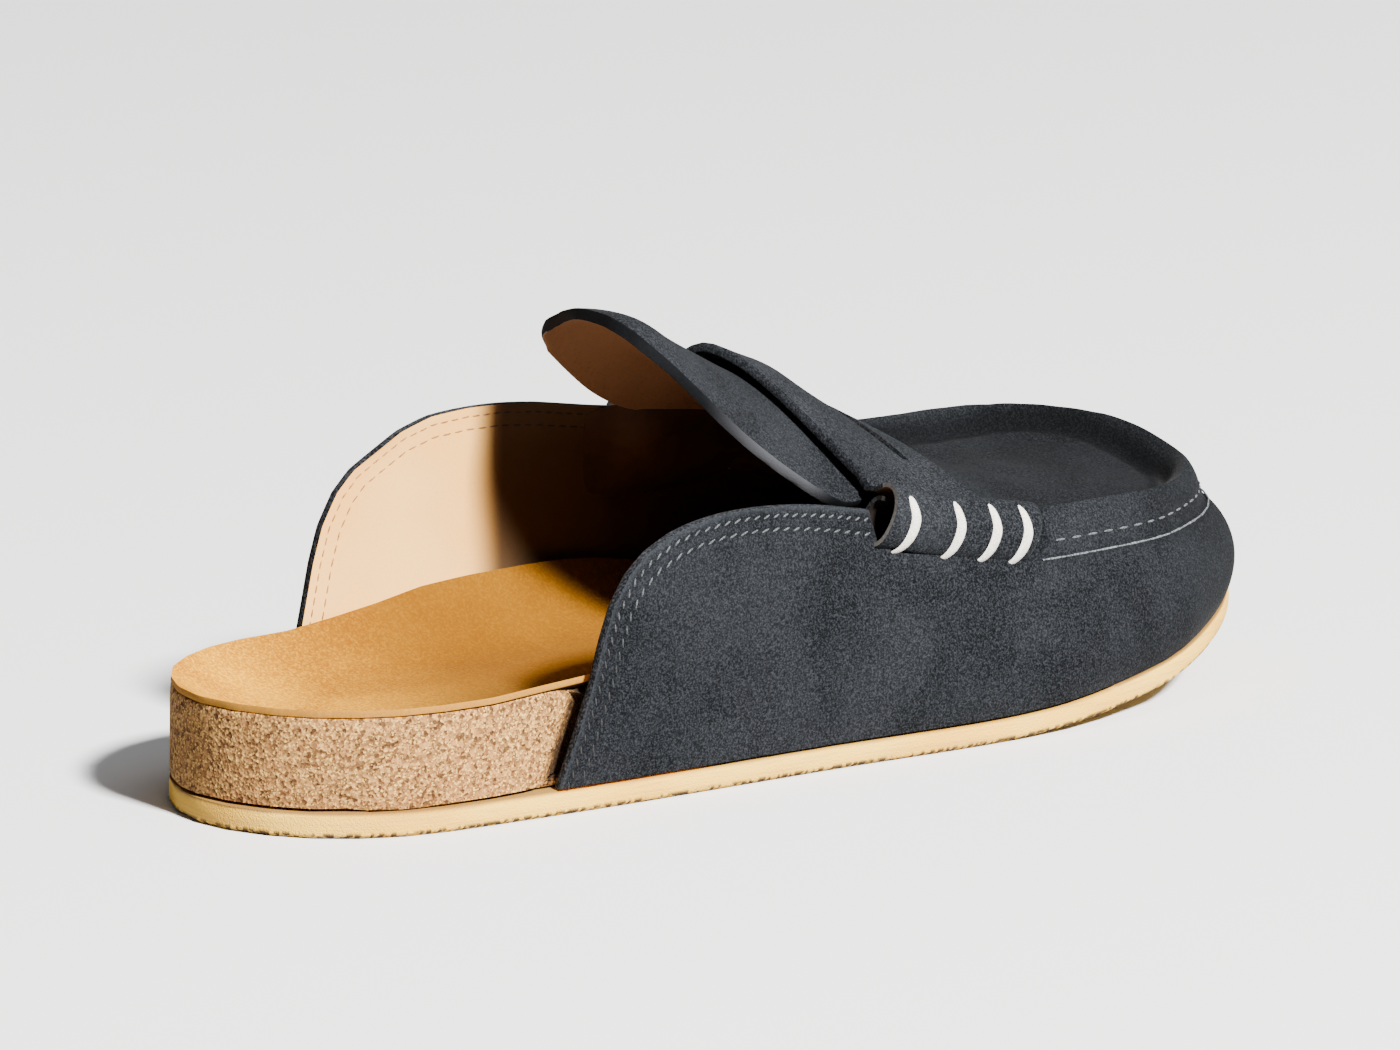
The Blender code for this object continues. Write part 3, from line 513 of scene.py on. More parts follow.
def lift(piece, path, heights, width, lowest):
    """Raises what lies above a level along a line on the plan, by a height given for each of its points."""
    at = places(piece)
    line = np.array(path) * MM
    spots = np.concatenate([np.linspace(a, b, 9) for a, b in zip(line, line[1:])])
    tall = np.concatenate([np.linspace(a, b, 9) for a, b in zip(heights, heights[1:])]) * MM
    away = np.linalg.norm(at[:, None, :2] - spots[None], axis=2)
    rise = np.exp(-((away.min(1) / (width * MM)) ** 2)) * tall[away.argmin(1)]
    at[:, 2] += np.where(at[:, 2] > lowest * MM, rise, 0)
    piece.data.vertices.foreach_set("co", at.ravel())
    piece.data.update()


lift(upper, RIM_FOOT, FOOT_DROP, width=2.6, lowest=TOP_LEVEL)
lift(upper, RIM_CREST, CREST_RISE, width=3.2, lowest=42)
lift(upper, DISH_LINE, DISH_DROP, width=4.5, lowest=TOP_LEVEL)
foot_line = [(x, y, 0) for x, y in RIM_FOOT]
on_top = places(upper)
# Distances to the rim's foot and shares of the plug, which the navy suede reads as painted shade
rim_gap = nearest_gap(on_top * (1, 1, 0), foot_line)
is_top = on_top[:, 2] > TOP_LEVEL * MM
note(upper, "rim_gap", np.where(is_top, rim_gap, FAR_OFF))
oval = np.hypot(*[(on_top[:, k] - PLUG_MIDDLE[k]) / PLUG_HALF_SIZE[k] for k in range(2)])
note(upper, "plug_painted_shade", np.where(is_top, np.clip((1.15 - oval) / 0.25, 0, 1), 0))

# Soft folds where the plug eases into its dish and where the wings meet the strap: path, width and depth
FOLDS = (
    (((-23, 83, 46.5), (-14, 80, 46.5), (-5, 81, 47), (3, 83.5, 47)), 2.2, 0.8),
    (((-21, 89, 46.5), (-12, 86.5, 46.5), (-2, 88, 46.8)), 2.6, -0.4),
    (((47, 16, 44), (49, 22, 34), (50, 30, 26)), 5.0, 0.5),
    (((49, 52, 36), (51, 60, 29), (52, 70, 22)), 6.0, 0.5),
    (((47, -52, 30), (48.5, -38, 24), (49, -26, 16)), 7.0, 0.45),
)
for path, width, depth in FOLDS:
    trough(upper, path, width, depth)

navy, tree, shader, group = suede(
    "navy_suede", NAVY_DARK, NAVY_LIGHT, fibre=0.00045, speckle=0.66, brushed=0.18
)
collar_gap = wire(tree, "Attribute", attribute_name="collar_gap").outputs["Fac"]
seam_gap = wire(tree, "Attribute", attribute_name="seam_gap").outputs["Fac"]
wear_and_highlight = scaled(tree, collar_gap, 0.0016, 0.0, 0.0, 0.35)
tone = blend_colour(tree, wear_and_highlight, group.outputs["Color"], (0.040, 0.045, 0.052, 1))
# The suede is pressed in along both rows of collar stitches
grooves = []
for row_gap in (0.0022, 0.0050):
    close_to_row = wire(tree, "Math", {0: collar_gap, 1: row_gap, 2: 0.0006}, operation="COMPARE")
    grooves.append(scaled(tree, close_to_row.outputs[0], 0, 1))
rows = wire(tree, "Math", {0: grooves[0], 1: grooves[1]}, operation="MAXIMUM").outputs[0]
tone = blend_colour(tree, product(tree, rows, 0.35), tone, (0.004, 0.005, 0.006, 1))
seam_shade = scaled(tree, seam_gap, 0.0022, 0.0004, 0.0, 0.35)
tone = blend_colour(tree, seam_shade, tone, (0.004, 0.005, 0.006, 1))
toe_shade = scaled(tree, along_axis(tree, "Y"), 0.045, 0.120, 0.0, 0.36)
tone = blend_colour(tree, toe_shade, tone, (0.0015, 0.0018, 0.0023, 1))
rim_gap = wire(tree, "Attribute", attribute_name="rim_gap").outputs["Fac"]
plug_painted_shade = wire(tree, "Attribute", attribute_name="plug_painted_shade").outputs["Fac"]
# Painted shade: the plug is darkened, and more so along the foot of the rim, which stands over it
tone = blend_colour(tree, scaled(tree, plug_painted_shade, 0.0, 1.0, 0.0, 0.26), tone, (0.0012, 0.0015, 0.0020, 1))
tone = blend_colour(tree, scaled(tree, rim_gap, 0.0038, 0.0012, 0.0, 0.66), tone, (0.0008, 0.0010, 0.0013, 1))
tree.links.new(tone, shader.inputs["Base Color"])
pressed = wire(tree, "Math", {0: rows, 1: -1.6, 2: group.outputs["Height"]}, operation="MULTIPLY_ADD")
bump_from(tree, shader, pressed.outputs[0], 0.00016)

lining, tree, shader = new_material("calf_lining", 0.55, 0.35)
grain = noise_at(tree, 0.0007, 3.0)
patch = noise_at(tree, 0.035, 2.0)
tone = blend_colour(tree, scaled(tree, patch, 0.3, 0.7), (0.95, 0.47, 0.11, 1), (1.0, 0.56, 0.16, 1))
tone = blend_colour(tree, scaled(tree, grain, 0.55, 0.75, 0.0, 0.25), tone, (0.55, 0.32, 0.17, 1))
deep_shade = scaled(tree, along_axis(tree, "Y"), *LINING_SHADE, 0.0, 0.955)
tone = blend_colour(tree, deep_shade, tone, (0.034, 0.015, 0.007, 1))
tree.links.new(tone, shader.inputs["Base Color"])
bump_from(tree, shader, grain, 0.00005)

raw_edge = suede(
    "raw_suede_edge", EDGE_DARK, EDGE_LIGHT, fibre=0.0006, speckle=0.9, brushed=0.05, relief=0.0001
)[0]
finished(upper, [navy, lining, raw_edge])


# ---------------------------------------------------------------------------------------------------------
# Collar stitching
# Two rows of mid grey thread round each wing, about 2 and 5 mm in from the edge, go through suede and lining.
# Each stitch is a short plump lens of thread that sinks into the nap at both ends.
# Rows: distance from the edge, pitch and stitch length in millimetres, and slant in degrees
COLLAR_ROWS = (("outer", 2.1, 2.7, 2.0, 26), ("inner", 5.1, 3.0, 2.2, 20))
OUTSIDE_START = 0.09
WING_FROM = 0.028


def thread_material(name, dark, light, shade=0.0, axis="Z", low=0.052, high=0.030):
    """Twisted thread, darker by a share of painted shade where it lies low on the shoe or deep inside it."""
    material, tree, shader = new_material(name, 0.7, 0.3)
    twist = noise_at(tree, 0.00035, 1.0)
    tone = blend_colour(tree, scaled(tree, twist, 0.35, 0.65), dark, light)
    shaded = scaled(tree, along_axis(tree, axis), low, high, 0.0, shade)
    tone = blend_colour(tree, shaded, tone, (0.008, 0.007, 0.007, 1))
    tree.links.new(tone, shader.inputs["Base Color"])
    bump_from(tree, shader, twist, 0.00008)
    return material


def even_steps(path, pitch):
    """Evenly spaced places and directions along a path, both in metres. Path and pitch are in millimetres."""
    path = np.array(path) * MM
    lengths = np.linalg.norm(np.diff(path, axis=0), axis=1)
    run = np.concatenate([[0], np.cumsum(lengths)])
    count = int(run[-1] / (pitch * MM))
    stops = (np.arange(count) + 0.5) * run[-1] / count
    spots = np.stack([np.interp(stops, run, path[:, axis]) for axis in range(3)], 1)
    ahead = np.stack([np.interp(stops + 0.0005, run, path[:, axis]) for axis in range(3)], 1)
    behind = np.stack([np.interp(stops - 0.0005, run, path[:, axis]) for axis in range(3)], 1)
    return [(Vector(p), Vector(a - b).normalized()) for p, a, b in zip(spots, ahead, behind)]


def sewn(name, length, width, spots, material, slant=0.0):
    """One stitch is shaped from a ball, then copied along its spots, and the copies are joined."""
    bpy.ops.object.select_all(action="DESELECT")
    bpy.ops.mesh.primitive_uv_sphere_add(segments=8, ring_count=6, radius=0.5)
    stitch = bpy.context.active_object
    bpy.ops.object.mode_set(mode="EDIT")
    bpy.ops.mesh.select_all(action="SELECT")
    bpy.ops.transform.rotate(value=radians(90), orient_axis="Y", center_override=(0, 0, 0))
    bpy.ops.transform.resize(value=(length * MM, width * MM, width * MM * 0.75))
    bpy.ops.object.mode_set(mode="OBJECT")
    shape = stitch.data
    copies = []
    for spot, along, out in spots:
        across = out.cross(along).normalized()
        out = along.cross(across).normalized()
        turn = Matrix((along, across, out)).transposed() @ Matrix.Rotation(radians(slant), 3, "Z")
        mesh = shape.copy()
        mesh.transform(Matrix.Translation(spot) @ turn.to_4x4())
        copies.append(bpy.data.objects.new(name, mesh))
        bpy.context.collection.objects.link(copies[-1])
    bpy.data.objects.remove(stitch, do_unlink=True)
    bpy.ops.object.select_all(action="DESELECT")
    for copy in copies:
        copy.select_set(True)
    piece = copies[0]
    bpy.context.view_layer.objects.active = piece
    bpy.ops.object.join()
    piece.name = name
    piece.data.name = name
    finished(piece, [material])


def inset_path(path, gap):
    """A path moved sideways across the wing, away from the edge that it follows."""
    path = np.array(path)
    run = np.gradient(path[:, 1:], axis=0)
    run /= np.linalg.norm(run, axis=1)[:, None]
    moved = path.copy()
    moved[:, 1] += run[:, 1] * gap
    moved[:, 2] -= run[:, 0] * gap
    return moved


grey_thread = thread_material("grey_thread", (0.030, 0.032, 0.036, 1), (0.105, 0.109, 0.117, 1), 0.75)
tan_thread = thread_material(
    "tan_thread", (0.22, 0.095, 0.025, 1), (0.46, 0.22, 0.070, 1), 0.93, "Y", *LINING_SHADE
)
for side, sign, collar in (("lateral", 1, COLLAR_LATERAL), ("medial", -1, COLLAR_MEDIAL)):
    for row, gap, pitch, length, slant in COLLAR_ROWS:
        outside = []
        inside = []
        for spot, along in even_steps(inset_path(collar, gap), pitch):
            for stitches, start, way in ((outside, OUTSIDE_START, -sign), (inside, 0.0, sign)):
                origin = Vector((sign * start, spot.y, spot.z))
                hit, place, normal, _ = upper.ray_cast(origin, Vector((way, 0, 0)), distance=0.09)
                if hit and abs(place.x) > WING_FROM:
                    stitches.append((place + normal * 0.00002, along, normal))
        sewn("collar_stitches_" + side + "_" + row, length, 0.50, outside, grey_thread, slant * sign)
        sewn("lining_stitches_" + side + "_" + row, length, 0.40, inside, tan_thread)


# ---------------------------------------------------------------------------------------------------------
# Moccasin seam
# The skirt's raw top edge lies against the rolled rim, and a row of grey running stitches holds the two.
SEAM_PITCH = 5.0
ABOVE_SEAM = 0.0036
raw_rim = thread_material("raw_seam_edge", (0.035, 0.038, 0.043, 1), (0.170, 0.177, 0.190, 1))
seam_spots = []
for spot, along in even_steps(SEAM, SEAM_PITCH):
    outward = Vector((spot.x, max(spot.y - 0.085, 0.0), 0)).normalized()
    start = spot + outward * 0.03 + Vector((0, 0, ABOVE_SEAM))
    hit, place, normal, _ = upper.ray_cast(start, -outward, distance=0.06)
    if hit:
        seam_spots.append((place + normal * 0.00005, along, normal))
seam_thread = thread_material("seam_thread", (0.040, 0.043, 0.048, 1), (0.125, 0.130, 0.140, 1))
sewn("moccasin_stitches", 2.9, 0.55, seam_spots, seam_thread)


def round_cord(name, path, radii, material):
    """A cord along a path in millimetres, with a radius at each of its points, made a mesh."""
    bpy.ops.object.select_all(action="DESELECT")
    line = bpy.data.curves.new(name, "CURVE")
    line.dimensions = "3D"
    line.bevel_depth = MM
    line.bevel_resolution = 2
    line.use_fill_caps = True
    spline = line.splines.new("POLY")
    spline.points.add(len(path) - 1)
    for point, place, radius in zip(spline.points, path, radii):
        point.co = (place[0] * MM, place[1] * MM, place[2] * MM, 1)
        point.radius = radius
    piece = bpy.data.objects.new(name, line)
    bpy.context.collection.objects.link(piece)
    piece.select_set(True)
    bpy.context.view_layer.objects.active = piece
    bpy.ops.object.convert(target="MESH")
    piece = bpy.context.active_object
    finished(piece, [material])


edge_path = [tuple(v / MM for v in spot) for spot, _ in even_steps(SEAM, 1.6)]
edge_path = [(x * 0.995, y, z + 0.05) for x, y, z in edge_path]
# The raw edge is uneven, here thicker and there thinner
edge_radii = [0.24 + 0.10 * sin(5.3 * step) * cos(2.1 * step) for step in range(len(edge_path))]
round_cord("seam_raw_edge", edge_path, edge_radii, raw_rim)


# ---------------------------------------------------------------------------------------------------------
# Tongue
# The plug runs on behind the strap as a broad flared flap, suede outside and calf inside.
# Its cut edges are painted dark, with a painted highlight on one stretch beside the strap.
CORNER = (0.014, -0.030)
CORNER_RISE = 0.0027
CORNER_REACH = 0.0105
BACK_EDGE = -0.0355
BACK_EDGE_WIDTH = 0.004
BACK_EDGE_PUSH = 0.0012
TIP_ROUNDING = 0.0095


def sheet_sides(piece, up):
    """Material 0 on the sheet's upper face, 1 on its under face and 2 on its cut edge."""
    bpy.context.view_layer.objects.active = piece
    middle = sum((face.center for face in piece.data.polygons), Vector()) / len(piece.data.polygons)
    for index, way in ((0, up), (1, -up)):
        faces = [f for f in piece.data.polygons if f.normal.dot(way) > 0.8]
        seed = min(faces, key=lambda f: (f.center - middle).length).index
        reached = {seed}
        border = [seed]
        edge_faces = {}
        for face in piece.data.polygons:
            for key in face.edge_keys:
                edge_faces.setdefault(key, []).append(face.index)
        while border:
            face = piece.data.polygons[border.pop()]
            for key in face.edge_keys:
                for other in edge_faces[key]:
                    turned = piece.data.polygons[other].normal.angle(face.normal)
                    if other not in reached and turned < radians(48):
                        reached.add(other)
                        border.append(other)
        for face in reached:
            piece.data.polygons[face].material_index = index + 10
    for face in piece.data.polygons:
        face.material_index = face.material_index - 10 if face.material_index >= 10 else 2


painted, tree, shader = new_material("painted_edge", 0.75, 0.12)
brushwork = noise_at(tree, 0.0012, 2.0)
tone = blend_colour(tree, brushwork, (0.0015, 0.0018, 0.0024, 1), (0.0060, 0.0068, 0.0085, 1))
length_way = along_axis(tree, "Y")
# Painted highlight: a pale stretch of the cut edge beside the strap
highlight_start = scaled(tree, length_way, -0.024, -0.008, 0.0, 0.6)
wear_and_highlight = product(tree, highlight_start, scaled(tree, length_way, 0.006, -0.002))
tone = blend_colour(tree, wear_and_highlight, tone, (0.14, 0.145, 0.16, 1))
tree.links.new(tone, shader.inputs["Base Color"])
bump_from(tree, shader, noise_at(tree, 0.0005, 2.0), 0.00006)

# Painted shade: the flap's calf is much darker than the lining, for the shade under the flap
shaded_tongue_calf, tree, shader = new_material("shaded_tongue_calf", 0.60, 0.3)
calf_grain = noise_at(tree, 0.0007, 3.0)
tone = blend_colour(tree, noise_at(tree, 0.025, 2.0), (0.130, 0.070, 0.036, 1), (0.225, 0.126, 0.068, 1))
tone = blend_colour(tree, scaled(tree, calf_grain, 0.5, 0.75, 0.0, 0.3), tone, (0.060, 0.025, 0.010, 1))
tree.links.new(tone, shader.inputs["Base Color"])
bump_from(tree, shader, calf_grain, 0.00006)

tongue = refined("tongue", "tongue_flap", 0, 0.6)
sheet_sides(tongue, Vector((0, 0.5, 0.85)))
cut_edges = {}
for face in tongue.data.polygons:
    for key in face.edge_keys:
        cut_edges.setdefault(tuple(sorted(key)), []).append(face.material_index)
crease = tongue.data.attributes["crease_edge"]
for edge in tongue.data.edges:
    if cut_edges[tuple(sorted(edge.vertices))] == [2, 2]:
        crease.data[edge.index].value = 0.0
subdivide(tongue, 2)
# The flap is held broad and rounded at its outer corner
tongue_at = places(tongue)
corner_gap = np.hypot(tongue_at[:, 0] - CORNER[0], tongue_at[:, 1] - CORNER[1])
tongue_at[:, 2] += CORNER_RISE * np.exp(-((corner_gap / CORNER_REACH) ** 2))
tongue_at[:, 1] -= BACK_EDGE_PUSH * np.exp(-(((tongue_at[:, 1] - BACK_EDGE) / BACK_EDGE_WIDTH) ** 2))
tongue.data.vertices.foreach_set("co", tongue_at.ravel())
tongue.data.update()
tip = min((v.co for v in tongue.data.vertices), key=lambda co: co.x * 0.6 + co.y).copy()
bpy.ops.object.select_all(action="DESELECT")
tongue.select_set(True)
bpy.context.view_layer.objects.active = tongue
bpy.ops.object.mode_set(mode="EDIT")
bpy.ops.mesh.select_all(action="DESELECT")
bpy.ops.object.mode_set(mode="OBJECT")
for vertex in tongue.data.vertices:
    vertex.select = (vertex.co - tip).length < TIP_ROUNDING
bpy.ops.object.mode_set(mode="EDIT")
bpy.ops.mesh.vertices_smooth(factor=0.5, repeat=12)
bpy.ops.object.mode_set(mode="OBJECT")
finished(tongue, [navy, shaded_tongue_calf, painted])
for label in ("collar_gap", "seam_gap", "rim_gap"):
    note(tongue, label, np.full(len(tongue.data.vertices), FAR_OFF))
note(tongue, "plug_painted_shade", np.zeros(len(tongue.data.vertices)))

# A strip of lining, coloured dark brown as painted shade, bridges from under the flap's inner edge to the
# inside of the wing
GUSSET_MEDIAL = (
    (-13, (-33.2, 67.5), (-33.5, 65.0), (-34.0, 61.0), (-34.5, 56.0)),
    (-9, (-31.2, 68.8), (-31.6, 66.0), (-32.5, 61.5), (-33.5, 56.0)),
    (-5, (-28.6, 70.0), (-29.2, 67.0), (-31.0, 62.0), (-33.0, 56.0)),
    (-2, (-26.4, 70.2), (-25.6, 67.0), (-25.6, 61.5), (-31.0, 56.0)),
    (2, (-24.4, 69.4), (-23.8, 66.5), (-23.4, 61.5), (-29.0, 55.5)),
    (7, (-23.6, 70.0), (-23.7, 66.5), (-23.4, 61.5), (-27.4, 55.5)),
    (13, (-22.8, 69.2), (-24.0, 65.5), (-24.0, 60.5), (-26.6, 55.0)),
    (20, (-22.4, 67.2), (-24.0, 64.0), (-24.3, 59.5), (-25.6, 55.0)),
    (27, (-22.4, 64.8), (-24.5, 62.0), (-25.0, 58.5), (-25.4, 54.5)),
)
GUSSET_FOOT = 46.0
GUSSET_START = -10
GUSSET_SINK = 0.5


def lining_strip(name, rows):
    """A grid laid over rows of points, smoothed and given the thickness of a lining."""
    columns = len(rows[0]) - 1
    bpy.ops.object.select_all(action="DESELECT")
    bpy.ops.mesh.primitive_grid_add(x_subdivisions=columns, y_subdivisions=len(rows) - 1, size=1)
    piece = bpy.context.active_object
    piece.name = name
    piece.data.name = name
    for vertex in piece.data.vertices:
        row = rows[round((vertex.co.y + 0.5) * (len(rows) - 1))]
        vertex.co = Vector(row[round((vertex.co.x + 0.5) * columns)]) * MM
    subdivide(piece, 2)
    wall = piece.modifiers.new("wall", "SOLIDIFY")
    wall.thickness = 0.0006
    wall.offset = 0
    bpy.ops.object.modifier_apply(modifier=wall.name)
    bpy.ops.object.mode_set(mode="EDIT")
    bpy.ops.mesh.select_all(action="SELECT")
    bpy.ops.mesh.normals_make_consistent(inside=False)
    bpy.ops.object.mode_set(mode="OBJECT")
    finished(piece, [lining_in_painted_shade])


# Painted shade: the strip's lining is dark brown
lining_in_painted_shade, tree, shader = new_material("lining_in_painted_shade", 0.7, 0.2)
tone = blend_colour(tree, noise_at(tree, 0.004, 3.0), (0.036, 0.016, 0.007, 1), (0.066, 0.031, 0.013, 1))
tree.links.new(tone, shader.inputs["Base Color"])
gusset_rows = []
for station, *points in GUSSET_MEDIAL:
    start = Vector((GUSSET_START, station, GUSSET_FOOT)) * MM
    _, place, _, _ = upper.ray_cast(start, Vector((-1, 0, 0)), distance=0.05)
    points.append((place.x / MM - GUSSET_SINK, GUSSET_FOOT))
    gusset_rows.append([(x, station, z) for x, z in points])
lining_strip("gusset_medial", gusset_rows)


# ---------------------------------------------------------------------------------------------------------
# Strap
# A wide strap of slightly lighter suede lies over tongue and plug, with a slim slit along its front third.
# Its back edge stands a little off the tongue, and both ends roll outwards beside the instep.
STRAP_DARK = (0.0036, 0.0042, 0.0052, 1)
STRAP_LIGHT = (0.043, 0.047, 0.054, 1)
CROWN_LINE = ((-22, 31), (-11, 22), (-2, 15))
CROWN_RISE = (0.8, 1.9, 0.8)

strap_suede = suede(
    "strap_suede", STRAP_DARK, STRAP_LIGHT, fibre=0.00045, speckle=0.66, brushed=0.16, relief=0.00014
)[0]
strap = refined("saddle_strap", "saddle_strap_suede", 0, 0.7)
sheet_sides(strap, Vector((0, 0.35, 0.93)))
subdivide(strap, 2)
lift(strap, CROWN_LINE, CROWN_RISE, width=8.0, lowest=40)
finished(strap, [strap_suede, raw_edge, strap_suede])


# ---------------------------------------------------------------------------------------------------------
# Beef rolls
# Each strap end is rolled round on itself outside the instep, open at the back and drawn in at the front.
ROLL_LATERAL = (
    (43.8, 12.4, 55.2), (43.8, 23.4, 51.8), (43.8, 34.4, 49.2), (43.8, 44.8, 47.0), (43.8, 55.4, 44.9),
)
ROLL_MEDIAL = (
    (-33.7, -1.2, 66.5), (-34.1, 10.5, 63.3), (-34.6, 22.0, 60.2), (-35.1, 33.0, 57.1), (-35.7, 44.2, 53.8),
)
ROLL_DEPTH = 5.9
ROLL_HALF_HEIGHT = 6.7
ROLL_SLANT = 0.46
ROLL_BELLY = 1.3
# Shares of the strap end that lead in from the strap's face, that curl, and that wind tighter at the end
LEAD = 0.12
CURLED = 0.88
TIGHT_FROM = 0.70
TIGHT_RUN = 0.30
TIGHTENING = 0.42
# The curl starts above the outer side and runs down and round, in degrees
CURL_START = 128
CURL_SWEEP = 385
# The front is drawn in over this share of the length, to this share of the size
NOSE_RUN = 0.07
NOSE_OPENING = 0.35
# Where the lead-in meets the strap, how wide it is and how deep it sinks there
LEAD_INWARD = 7.8
LEAD_BACK = 7.5
LEAD_WIDTH = 4.2
LEAD_SINK = 0.9

roll_flesh, tree, shader = new_material("strap_flesh_side", 0.85, 0.2)
tone = blend_colour(tree, noise_at(tree, 0.0012, 2.0), (0.060, 0.024, 0.010, 1), (0.150, 0.068, 0.030, 1))
# Painted shade: the flesh side turns near black deep inside the curl
inner_turn = wire(tree, "Attribute", attribute_name="turn").outputs["Fac"]
tone = blend_colour(tree, scaled(tree, inner_turn, 0.26, 0.42, 0.0, 0.96), tone, (0.003, 0.002, 0.0016, 1))
tree.links.new(tone, shader.inputs["Base Color"])
bump_from(tree, shader, noise_at(tree, 0.0005, 2.0), 0.00008)
roll_edge, tree, shader = new_material("strap_cut_edge", 0.8, 0.2)
tone = blend_colour(tree, noise_at(tree, 0.0008, 2.0), (0.035, 0.034, 0.033, 1), (0.150, 0.140, 0.125, 1))
# Painted shade: the cut edge turns near black where it winds inside the curl
outer_turn = wire(tree, "Attribute", attribute_name="turn").outputs["Fac"]
tone = blend_colour(tree, scaled(tree, outer_turn, 0.66, 0.74, 0.0, 0.96), tone, (0.003, 0.002, 0.0016, 1))
tree.links.new(tone, shader.inputs["Base Color"])


def along_roll(axis, share):
    """Place on a roll's axis at a share of its length."""
    shares = np.linspace(0, 1, len(axis))
    return [float(np.interp(share, shares, [point[k] for point in axis])) for k in range(3)]


def strap_top(x, y):
    """Height of the strap, or of the upper beyond its edges, at a place on the plan in millimetres."""
    for under in (strap, upper):
        hit, place, _, _ = under.ray_cast(Vector((x, y, 150)) * MM, Vector((0, 0, -1)), distance=0.15)
        if hit:
            return place.z / MM
    return 40.0


def rolled_end(name, axis, sign):
    """A flat grid that leaves the strap's face, turns down over the outside and curls in under itself."""
    bpy.ops.object.select_all(action="DESELECT")
    bpy.ops.mesh.primitive_grid_add(x_subdivisions=44, y_subdivisions=34, size=1)
    piece = bpy.context.active_object
    piece.name = name
    piece.data.name = name
    note(piece, "turn", [vertex.co.x + 0.5 for vertex in piece.data.vertices])
    for vertex in piece.data.vertices:
        turn = vertex.co.x + 0.5
        share = vertex.co.y + 0.5
        x, y, z = along_roll(axis, share)
        nose = min((1 - share) / NOSE_RUN, 1.0)
        close = NOSE_OPENING + (1 - NOSE_OPENING) * (1 - (1 - nose) ** 2) ** 0.5
        angle = radians(CURL_START - CURL_SWEEP * max(turn - LEAD, 0) / CURLED)
        curl = 1.0 - TIGHTENING * max(turn - TIGHT_FROM, 0) / TIGHT_RUN
        out = ROLL_DEPTH * close * curl * cos(angle)
        up = ROLL_HALF_HEIGHT * close * curl * sin(angle)
        if sin(angle) < 0:
            out += ROLL_BELLY * sin(angle) * sin(angle) * curl
        rest = max(LEAD - turn, 0) / LEAD
        if rest > 0:
            face = strap_top(x - sign * LEAD_INWARD, y + LEAD_BACK * ROLL_SLANT)
            ease = rest * rest * (3 - 2 * rest)
            out -= LEAD_WIDTH * rest * close
            up += (face - LEAD_SINK - z - up) * ease if close > 0.99 else 0.0
        y += ROLL_SLANT * up
        vertex.co = ((x + sign * out) * MM, y * MM, (z + up) * MM)
    if sign < 0:
        piece.data.flip_normals()
    for material in (strap_suede, roll_flesh, roll_edge):
        piece.data.materials.append(material)
    wall = piece.modifiers.new("wall", "SOLIDIFY")
    wall.thickness = 0.0010
    wall.offset = -1
    wall.material_offset = 1
    wall.material_offset_rim = 2
    bpy.ops.object.modifier_apply(modifier=wall.name)
    finished(piece, [])
    # The edge that leaves the strap is dyed like its face
    for face in piece.data.polygons:
        if sign * face.center.x < 0.0415 and face.material_index == 2:
            face.material_index = 0
    return piece


for name, axis, sign in (("beef_roll_lateral", ROLL_LATERAL, 1), ("beef_roll_medial", ROLL_MEDIAL, -1)):
    roll = rolled_end(name + "_scroll", axis, sign)
    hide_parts(name)


# ---------------------------------------------------------------------------------------------------------
# Whipped threads
# Four thick off-white threads bind each roll down to the upper. Each is a flat crescent, broad over the roll
# and pulled thin where it dives through the suede above and below.
WHIP_STATIONS = (
    ("lateral", ROLL_LATERAL, 1, (18.6, 31.4, 41.6, 50.4)),
    ("medial", ROLL_MEDIAL, -1, (4.5, 17.0, 28.0, 38.5)),
)
# Degrees round the roll, from above it to below it
WHIP_START = 108
WHIP_SWEEP = 216
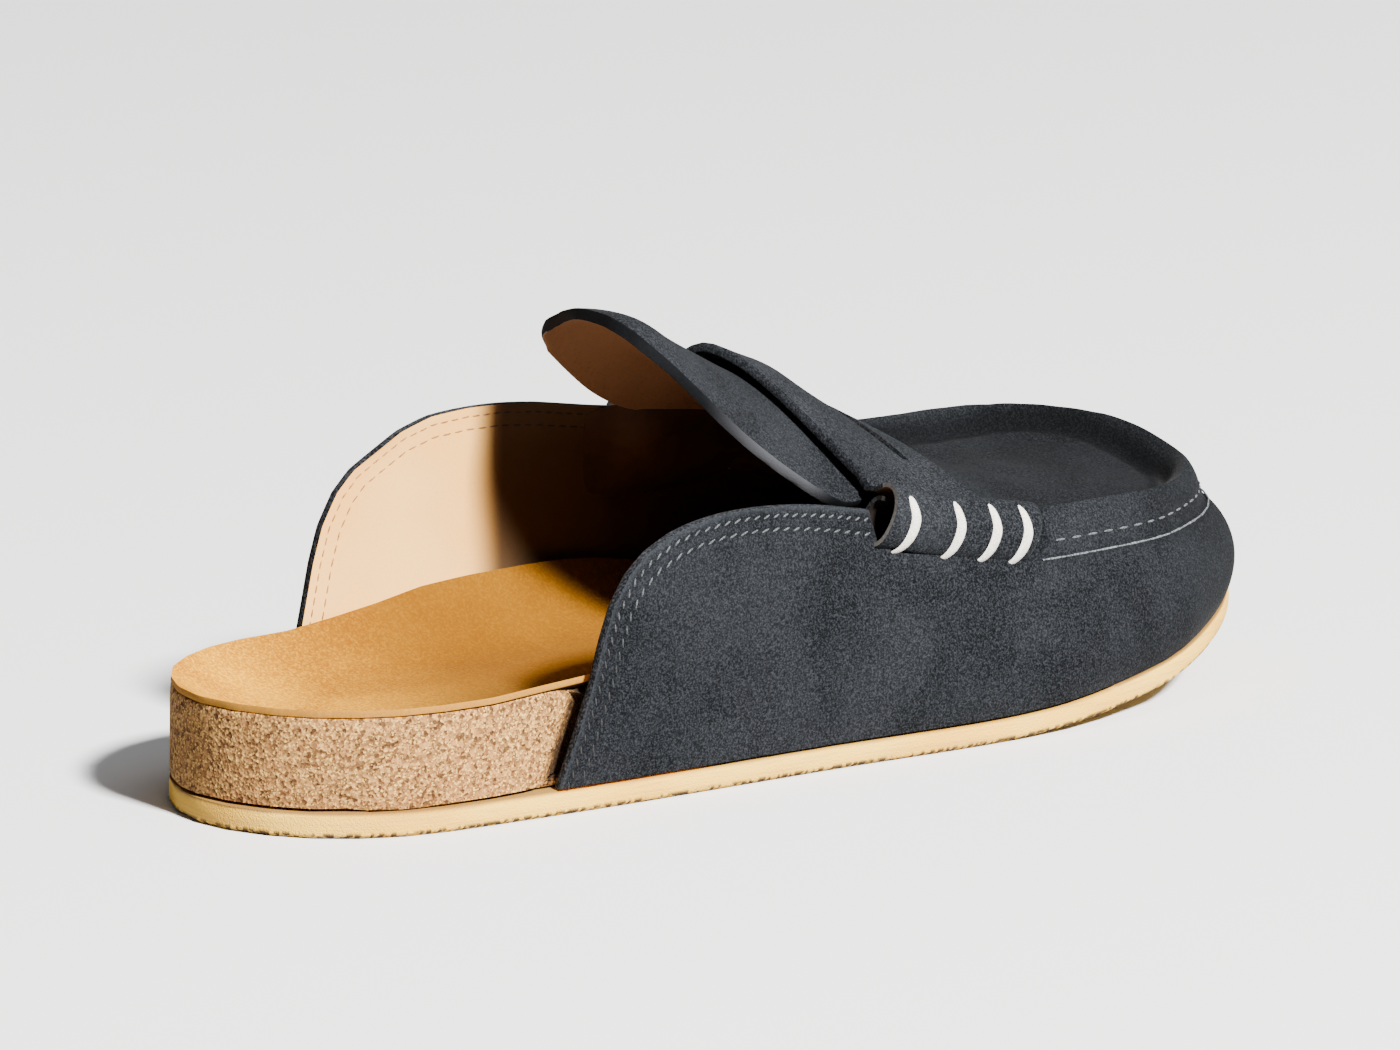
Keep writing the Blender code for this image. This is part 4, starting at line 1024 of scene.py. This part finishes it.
# From this angle down, the thread trails towards the heel
TRAIL_FROM = 15
TRAIL_RUN = 105
TRAIL = 6.6
WHIP_HALF_WIDTH = 1.30
WHIP_HALF_THICKNESS = 0.50
WHIP_STAND_OFF = 0.25
WHIP_SINK = 1.1

whip_thread = thread_material("whip_thread", (0.66, 0.60, 0.48, 1), (0.96, 0.93, 0.86, 1))


def whipped(name, axis, sign, station):
    """A grid wrapped round a slanting path over the roll, its sides merged and both ends drawn to a point."""
    bpy.ops.object.select_all(action="DESELECT")
    bpy.ops.mesh.primitive_grid_add(x_subdivisions=10, y_subdivisions=26, size=1)
    piece = bpy.context.active_object
    piece.name = name
    piece.data.name = name
    ends = axis[0][1], axis[-1][1]
    x, _, z = along_roll(axis, (station - ends[0]) / (ends[1] - ends[0]))
    for vertex in piece.data.vertices:
        share = vertex.co.y + 0.5
        around = 2 * pi * (vertex.co.x + 0.5)
        angle = radians(WHIP_START - WHIP_SWEEP * share)
        sink = WHIP_SINK * (2 * share - 1) ** 8
        out = (ROLL_DEPTH + WHIP_STAND_OFF - sink) * cos(angle)
        up = (ROLL_HALF_HEIGHT + WHIP_STAND_OFF - sink) * sin(angle)
        if sin(angle) < 0:
            out += ROLL_BELLY * sin(angle) * sin(angle)
        fall = max(TRAIL_FROM - WHIP_START + WHIP_SWEEP * share, 0) / TRAIL_RUN
        y = station - TRAIL * fall ** 1.5
        taper = max(sin(pi * share), 0.0)
        side = WHIP_HALF_WIDTH * taper * cos(around)
        thick = WHIP_HALF_THICKNESS * taper * sin(around)
        out += thick * cos(angle)
        up += thick * sin(angle)
        vertex.co = ((x + sign * out) * MM, (y + side) * MM, (z + up - 0.30 * side) * MM)
    bpy.ops.object.mode_set(mode="EDIT")
    bpy.ops.mesh.select_all(action="SELECT")
    bpy.ops.mesh.remove_doubles(threshold=0.000005)
    bpy.ops.mesh.normals_make_consistent(inside=False)
    bpy.ops.object.mode_set(mode="OBJECT")
    finished(piece, [whip_thread])


for side, axis, sign, stations in WHIP_STATIONS:
    for number, station in enumerate(stations):
        whipped("whip_" + side + "_" + str(number + 1), axis, sign, station)
